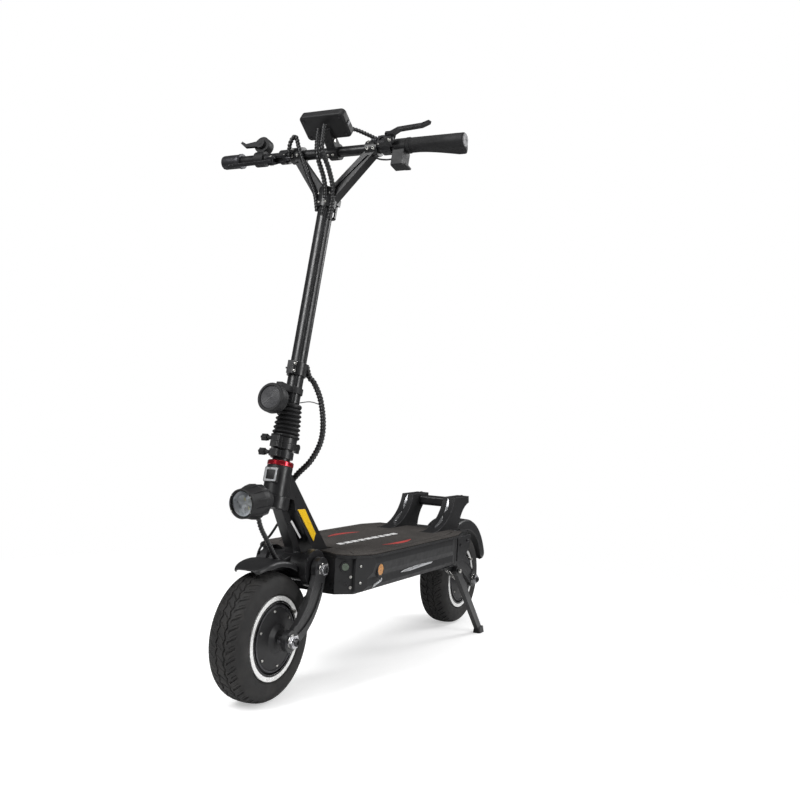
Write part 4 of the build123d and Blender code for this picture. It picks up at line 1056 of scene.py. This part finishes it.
# Brake levers
bolts, lids, banjos = bmesh.new(), bmesh.new(), bmesh.new()
for side, tilt in BRAKES:
    angle = radians(LEAN + tilt)
    out = Vector((cos(angle), 0, sin(angle)))
    top = out.cross(LEFT)
    base = steer(0, side * 130, BAR_D)

    def local(x, y, z):
        return base + (out * x + LEFT * y + top * z) * MM

    for z in (9, -9):
        cap_screw(bolts, local(33, side * 18, z), top * (1 if z > 0 else -1), 4.2, 2.0, 1.8)
        cap_screw(bolts, local(24, -side * 12, z), top * (1 if z > 0 else -1), 2.2, 1.6, 1.1)
    slab(lids, rounded_box(14, 24, 3), local(19.5, 0, 8.6), out, LEFT, 2.4, 0.8)
    hex_head(banjos, local(24, -side * 17, 0), LEFT * -side, 10, 6, 7.0)
    turn(banjos, [(0.01, 0), (3.6, 0), (3.6, 9), (2.6, 10), (0.01, 10)], local(24, -side * 20, 0),
         LEFT * -side + out * 0.3, 20)
make("brake_lever_bolts", bolts, "zinc", "stem")
make("brake_reservoir_lids", lids, "black_plastic", "stem")
make("brake_hose_unions", banjos, "satin_grey", "stem")

# Clamps
heads = []
for side in (1, -1):
    heads += [(steer(15.6, side * y, BAR_D + rise), AHEAD, 3.2, 3.6, 1.6)
              for y in (88, 102) for rise in (8, -8)]
    heads.append((steer(15.4, side * 14, 1064), AHEAD + LEFT * side, 2.6, 2.2, 1.4))
    heads.append((steer(19.4, side * 8, 1042), AHEAD + LEFT * side * 0.4, 2.6, 2.6, 1.4))
heads += [(steer(24, 8, d), LEFT, 3.2, 3.2, 1.7) for d in (668, 683)]
screws("clamp_screws", "zinc", "stem", heads)
mesh = bmesh.new()
slab(mesh, rounded_box(9, 3.4, 1.2, 3), steer(16, -14.6, 675), AHEAD, UP, 1.2, 0.3)
slab(mesh, rounded_box(13, 4, 1.4, 3), steer(18.9, 4, 689), LEFT, AHEAD, 1.0, 0.3)
make("collar_slots", mesh, "silver_alloy", "stem")

# Washers and end caps on the axles and pivots, and the bolts of the calipers
for end, aim in (("front", radians(128)), ("rear", radians(62))):
    body = f"{end}_suspension"
    axle, pivot = AXLES[end], PIVOTS[end]
    washers, caps, bolts = bmesh.new(), bmesh.new(), bmesh.new()
    for centre, bore, outer in ((axle, 8.0, 13.2), (pivot, 9.0, 11.8)):
        ring = [(bore, 0), (outer, 0), (outer, 1.2), (outer - 0.8, 1.8), (bore, 1.8)]
        for side in (1, -1):
            turn(washers, ring, polar(centre, 0, 0, side * 73.8), LEFT * side, 48, closed=True)
    cup = [(0.01, 0.6), (4.6, 0.6), (4.6, 3.0), (6.2, 3.4), (7.9, 2.2), (8.2, -0.6)]
    socket = [(0.01, 0.5), (4.4, 0.5), (4.4, 2.2), (6.6, 2.4), (8.6, 1.0), (8.8, -0.6)]
    for side in (1, -1):
        turn(caps, cup, polar(axle, 0, 0, side * 85.6), LEFT * side, 32)
        turn(caps, socket, polar(pivot, 0, 0, side * 82.8), LEFT * side, 32)
    for swing in (-0.20, 0.20):
        hex_head(bolts, polar(axle, 79, aim + swing, -62), -LEFT, 7, 4, 4.6)
    hex_head(bolts, polar(axle, 94, aim, -66), -LEFT, 8, 5, 5.5)
    make(f"{end}_axle_washers", washers, "zinc", body)
    make(f"{end}_axle_ends", caps, "black_bolt", body)
    make(f"{end}_caliper_bolts", bolts, "zinc", body)

# Fenders


def fender_section(half, inner, skirt):
    """(y, radius) points once round a U-shaped shell with a crowned top and rolled edges."""
    outside = [(half, skirt + 1), (half, inner - 3), (half - 1.5, inner + 0.8), (half - 5, inner + 2.8),
               (half * 0.5, inner + 3.6), (0, inner + 4.0)]
    inside = [(0, inner + 1.2), (half * 0.5, inner + 0.8), (half - 6.5, inner), (half - 3.2, inner - 2.4),
              (half - 2.8, inner - 5), (half - 2.8, skirt + 1), (half - 1.4, skirt)]
    right = [(-y, r) for y, r in reversed(outside[:-1])]
    under = [(-y, r) for y, r in reversed(inside[1:])]
    return outside + right + under + inside


def fender_shell(mesh, axle, low, high, half, inner, skirt, tips):
    """A fender round an axle from one angle to the other in degrees; tips holds, for both ends,
    the length in degrees over which the skirts fade and the end rounds off."""
    rings = []
    steps = 60
    for i in range(steps + 1):
        angle = low + (high - low) * i / steps
        fade = min(1.0, (angle - low) / tips[0], (high - angle) / tips[1])
        swell = sin(pi / 2 * fade) ** 0.5 if fade > 0 else 0.0
        width = half * (0.66 + 0.34 * swell)
        edge = inner - 1.6 + (skirt - inner + 1.6) * (3 * fade ** 2 - 2 * fade ** 3)
        out = Vector((cos(radians(angle)), 0, sin(radians(angle))))
        section = fender_section(width, inner, min(edge, inner - 5.5) if fade > 0.4 else inner - 5.5)
        rings.append([axle + (out * radius + LEFT * y) * MM for y, radius in section])
    bridge(mesh, rings)


def side_plate(mesh, outline, y, width):
    """A plate from (x, z) points in mm, growing from y to the rider's left."""
    slab(mesh, [(-x, z) for x, z in outline], mm(0, y, 0), (-1, 0, 0), (0, 0, 1), width, 0.8)


mesh = bmesh.new()
fender_shell(mesh, AXLES["front"], 66, 122, 38, 148, 139, (16, 5))
side_plate(mesh, [(418, 272.5), (396, 265), (366, 262), (350, 285), (396, 274), (418, 276)], -10, 20)
make("front_fender_shell", mesh, "fender_black", "fork", 50, replaces="front_fender")
mesh = bmesh.new()
fender_shell(mesh, AXLES["rear"], 50, 168, 44, 160, 134, (12, 9))
for y in (41, -62):
    side_plate(mesh, [(-356, 246), (-372, 254), (-378, 176), (-362, 176)], y, 21)
make("rear_fender_shell", mesh, "fender_black", "rear_suspension", 50, replaces="rear_fender")
screws("rear_fender_bolts", "black_bolt", "rear_suspension",
       [(mm(-367, side * 62, z), LEFT * side, 2.8, 2.0, 1.4) for side in (1, -1) for z in (236, 196)])
screws("front_fender_bolts", "black_bolt", "fork",
       [(mm(408, y, 276), (0, 0, 1), 2.8, 2.0, 1.4) for y in (8, -8)])

# Motor cables leave the left axle ends, brake hoses leave the calipers on the right. The
# points are given from the axle, then from the pivot; start and stop pick two of them for a bend that is not made
# here.
holders = {"front": "fork", "rear": "frame"}
for end, name, radius, start, stop, by_axle, by_pivot in (
        ("front", "motor_cable", 3.6, 2, 4, [(-12, 56, 2), (-38, 57, 26), (-62, 57, 68)],
         [(6, 56, -50), (-30, 52, -38), (-44, 40, -12), (-46, 20, 26)]),
        ("front", "brake_hose", 2.6, 1, 3, [(-56, -66, 70), (-60, -68, 92)],
         [(14, -82, -20), (18, -70, 26), (22, -40, 62), (24, -24, 84)]),
        ("rear", "motor_cable", 3.6, 2, 4, [(14, 57, 4), (40, 57, 26), (86, 56, 62)],
         [(-34, 55, -24), (8, 50, -40), (40, 46, -34)]),
        ("rear", "brake_hose", 2.6, 1, 4, [(44, -66, 88), (74, -72, 96), (116, -80, 90)],
         [(-6, -86, -30), (28, -74, -34), (44, -60, -24)])):
    points = [AXLES[end] + mm(*place) for place in by_axle]
    points += [PIVOTS[end] + mm(*place) for place in by_pivot]
    bend = (f"{end}_suspension", holders[end], points[start], points[stop])
    hose(f"{end}_{name}", points, radius, None, blend=bend)


# Conduits and hoses

SPIRAL_R = 6.3

# The long loop bulges to the rider's left
loop_top = steer(-17, 9, 690)
loop_mid = mm(334, 45, 552)
upper = [loop_top, steer(-24, 16, 668), mm(343, 24, 634), mm(334, 36, 600), loop_mid]
lower = [loop_mid, mm(339, 44, 512), mm(354, 32, 474), mm(362, 6, 444), mm(361, -20, 412), mm(362, -33, 372),
         mm(340, -38, 330), mm(316, -36, 287)]
whole = smooth_path(upper + lower[1:], 6.0)
middle = min(range(len(whole)), key=lambda i: (whole[i] - loop_mid).length)
hose("loop_conduit_upper", whole[: middle + 1], SPIRAL_R, None, wrap=True,
     blend=("stem", "fork", loop_top, loop_mid))
hose("loop_conduit_lower", whole[middle:], SPIRAL_R, None, wrap=True,
     blend=("fork", "frame", loop_mid, mm(361, -20, 412)))
for name, body, radius, places in (
        ("display_conduit_left", "stem", 5.6,
         [(330, 9, 1178), (339, 12, 1156), (345, 15, 1124), (322, 20, 1086), (305, 21, 1052), (302, 19, 1020),
          (305, 15, 985)]),
        ("display_conduit_right", "stem", 5.6,
         [(326, -8, 1172), (332, -6, 1148), (334, -2, 1112), (315, 4, 1070), (307, 5, 1032), (312, 2, 992)]),
        ("right_bar_hose", "stem", 5.0,
         [(287, -107, 1129), (297, -99, 1158), (290, -90, 1174), (288, -78, 1140), (294, -50, 1085),
          (302, -25, 1042), (307, -14, 1004)]),
        ("left_bar_conduit", "stem", 4.6,
         [(290, -2, 1172), (266, 6, 1192), (244, 30, 1193), (233, 68, 1177), (231, 108, 1156),
          (236, 138, 1138), (250, 155, 1122)]),
        ("headlight_conduit", "fork", 5.0,
         [(490, 5, 376), (493, 8, 364), (483, 9, 342), (457, 9, 312), (434, 8, 286), (420, 6, 274)])):
    hose(name, [mm(*place) for place in places], radius, body, wrap=True)
# A wire tie round the loop, and the wire of the button pod
tie_start, tie_reach = mm(382, 12, 591), mm(314, 48, 590)
hose("loop_tie", [tie_start, mm(358, 26, 595), mm(335, 37, 590)], 1.0, None,
     blend=("stem", "fork", tie_start, tie_reach))
pod_wire = [steer(2, 96, 1148), steer(6, 116, 1138), steer(8, 136, 1134), steer(6, 152, 1136)]
hose("pod_wire", pod_wire, 1.8, "stem")

# Stage, light and camera

# A white floor that fades out with distance
mesh = bmesh.new()
bmesh.ops.create_circle(mesh, cap_ends=True, radius=14.0, segments=96)
data = bpy.data.meshes.new("floor")
mesh.to_mesh(data)
mesh.free()
nodes = Nodes("floor_white")
nodes.set("Base Color", nodes.mix(nodes.noise(2.0), (0.86, 0.86, 0.86, 1), (0.89, 0.89, 0.89, 1)))
nodes.set("Roughness", 0.9)
nodes.set("Specular IOR Level", 0.1)
axes = nodes.split()
nodes.set("Alpha", nodes.span(nodes.length(axes[0], axes[1]), 0.8, 1.7, 1.0, 0.0))
seen = nodes.add("ShaderNodeLightPath").outputs["Is Camera Ray"]
nodes.set("Emission Color", (1.0, 1.0, 1.0, 1.0))
nodes.set("Emission Strength", nodes.math("MULTIPLY", seen, 0.42))
data.materials.append(nodes.material)
ground = bpy.data.objects.new("floor", data)
bpy.context.scene.collection.objects.link(ground)


def area_light(name, place, target, size, power):
    data = bpy.data.lights.new(name, "AREA")
    data.shape = "RECTANGLE"
    data.size, data.size_y = size
    data.energy = power
    lamp = bpy.data.objects.new(name, data)
    lamp.location = place
    lamp.rotation_euler = (Vector(target) - Vector(place)).to_track_quat("-Z", "Y").to_euler()
    bpy.context.scene.collection.objects.link(lamp)


# White to the camera, grey as light and darker still in reflections, so that black paint
# keeps its depth.
world = bpy.data.worlds.new("studio")
bpy.context.scene.world = world
world.use_nodes = True
tree = world.node_tree
background = tree.nodes["Background"]
path = tree.nodes.new("ShaderNodeLightPath")
strength = tree.nodes.new("ShaderNodeMapRange")
ambient = tree.nodes.new("ShaderNodeMapRange")
ambient.inputs["To Min"].default_value = 0.36
ambient.inputs["To Max"].default_value = 0.10
tree.links.new(path.outputs["Is Glossy Ray"], ambient.inputs["Value"])
tree.links.new(ambient.outputs["Result"], strength.inputs["To Min"])
strength.inputs["To Max"].default_value = 1.0
background.inputs["Color"].default_value = (1.0, 1.0, 1.0, 1.0)
tree.links.new(path.outputs["Is Camera Ray"], strength.inputs["Value"])
tree.links.new(strength.outputs["Result"], background.inputs["Strength"])

CAMERA_AT = Vector((1.9969, 1.0768, 0.5813))
CAMERA_YAW = radians(-152.78)
CAMERA_PITCH = radians(0.793)
CAMERA_ROLL = radians(2.86)
CAMERA_LENS = 42.31

level = Vector((cos(CAMERA_YAW), sin(CAMERA_YAW), 0))
ahead = level * cos(CAMERA_PITCH) + Vector((0, 0, sin(CAMERA_PITCH)))
right = ahead.cross(Vector((0, 0, 1))).normalized()
above = right.cross(ahead)
rolled_right = right * cos(CAMERA_ROLL) + above * sin(CAMERA_ROLL)
rolled_up = above * cos(CAMERA_ROLL) - right * sin(CAMERA_ROLL)
data = bpy.data.cameras.new("camera")
data.sensor_width = 36.0
data.lens = CAMERA_LENS
camera = bpy.data.objects.new("camera", data)
axes = Matrix((rolled_right, rolled_up, -ahead)).transposed()
camera.matrix_world = Matrix.Translation(CAMERA_AT) @ axes.to_4x4()
bpy.context.scene.collection.objects.link(camera)
bpy.context.scene.camera = camera

area_light("key", (2.4, -0.6, 2.2), (0.1, 0, 0.5), (0.9, 1.4), 60)
area_light("fill", (0.4, 3.0, 1.3), (0.0, 0, 0.5), (0.7, 1.8), 42)
area_light("rim", (-2.4, 1.4, 2.0), (0.0, 0, 0.5), (0.8, 1.8), 36)
area_light("top", (0.6, 0.2, 3.4), (0.0, 0, 0.3), (2.0, 2.0), 22)
bpy.context.scene.view_settings.view_transform = "Standard"
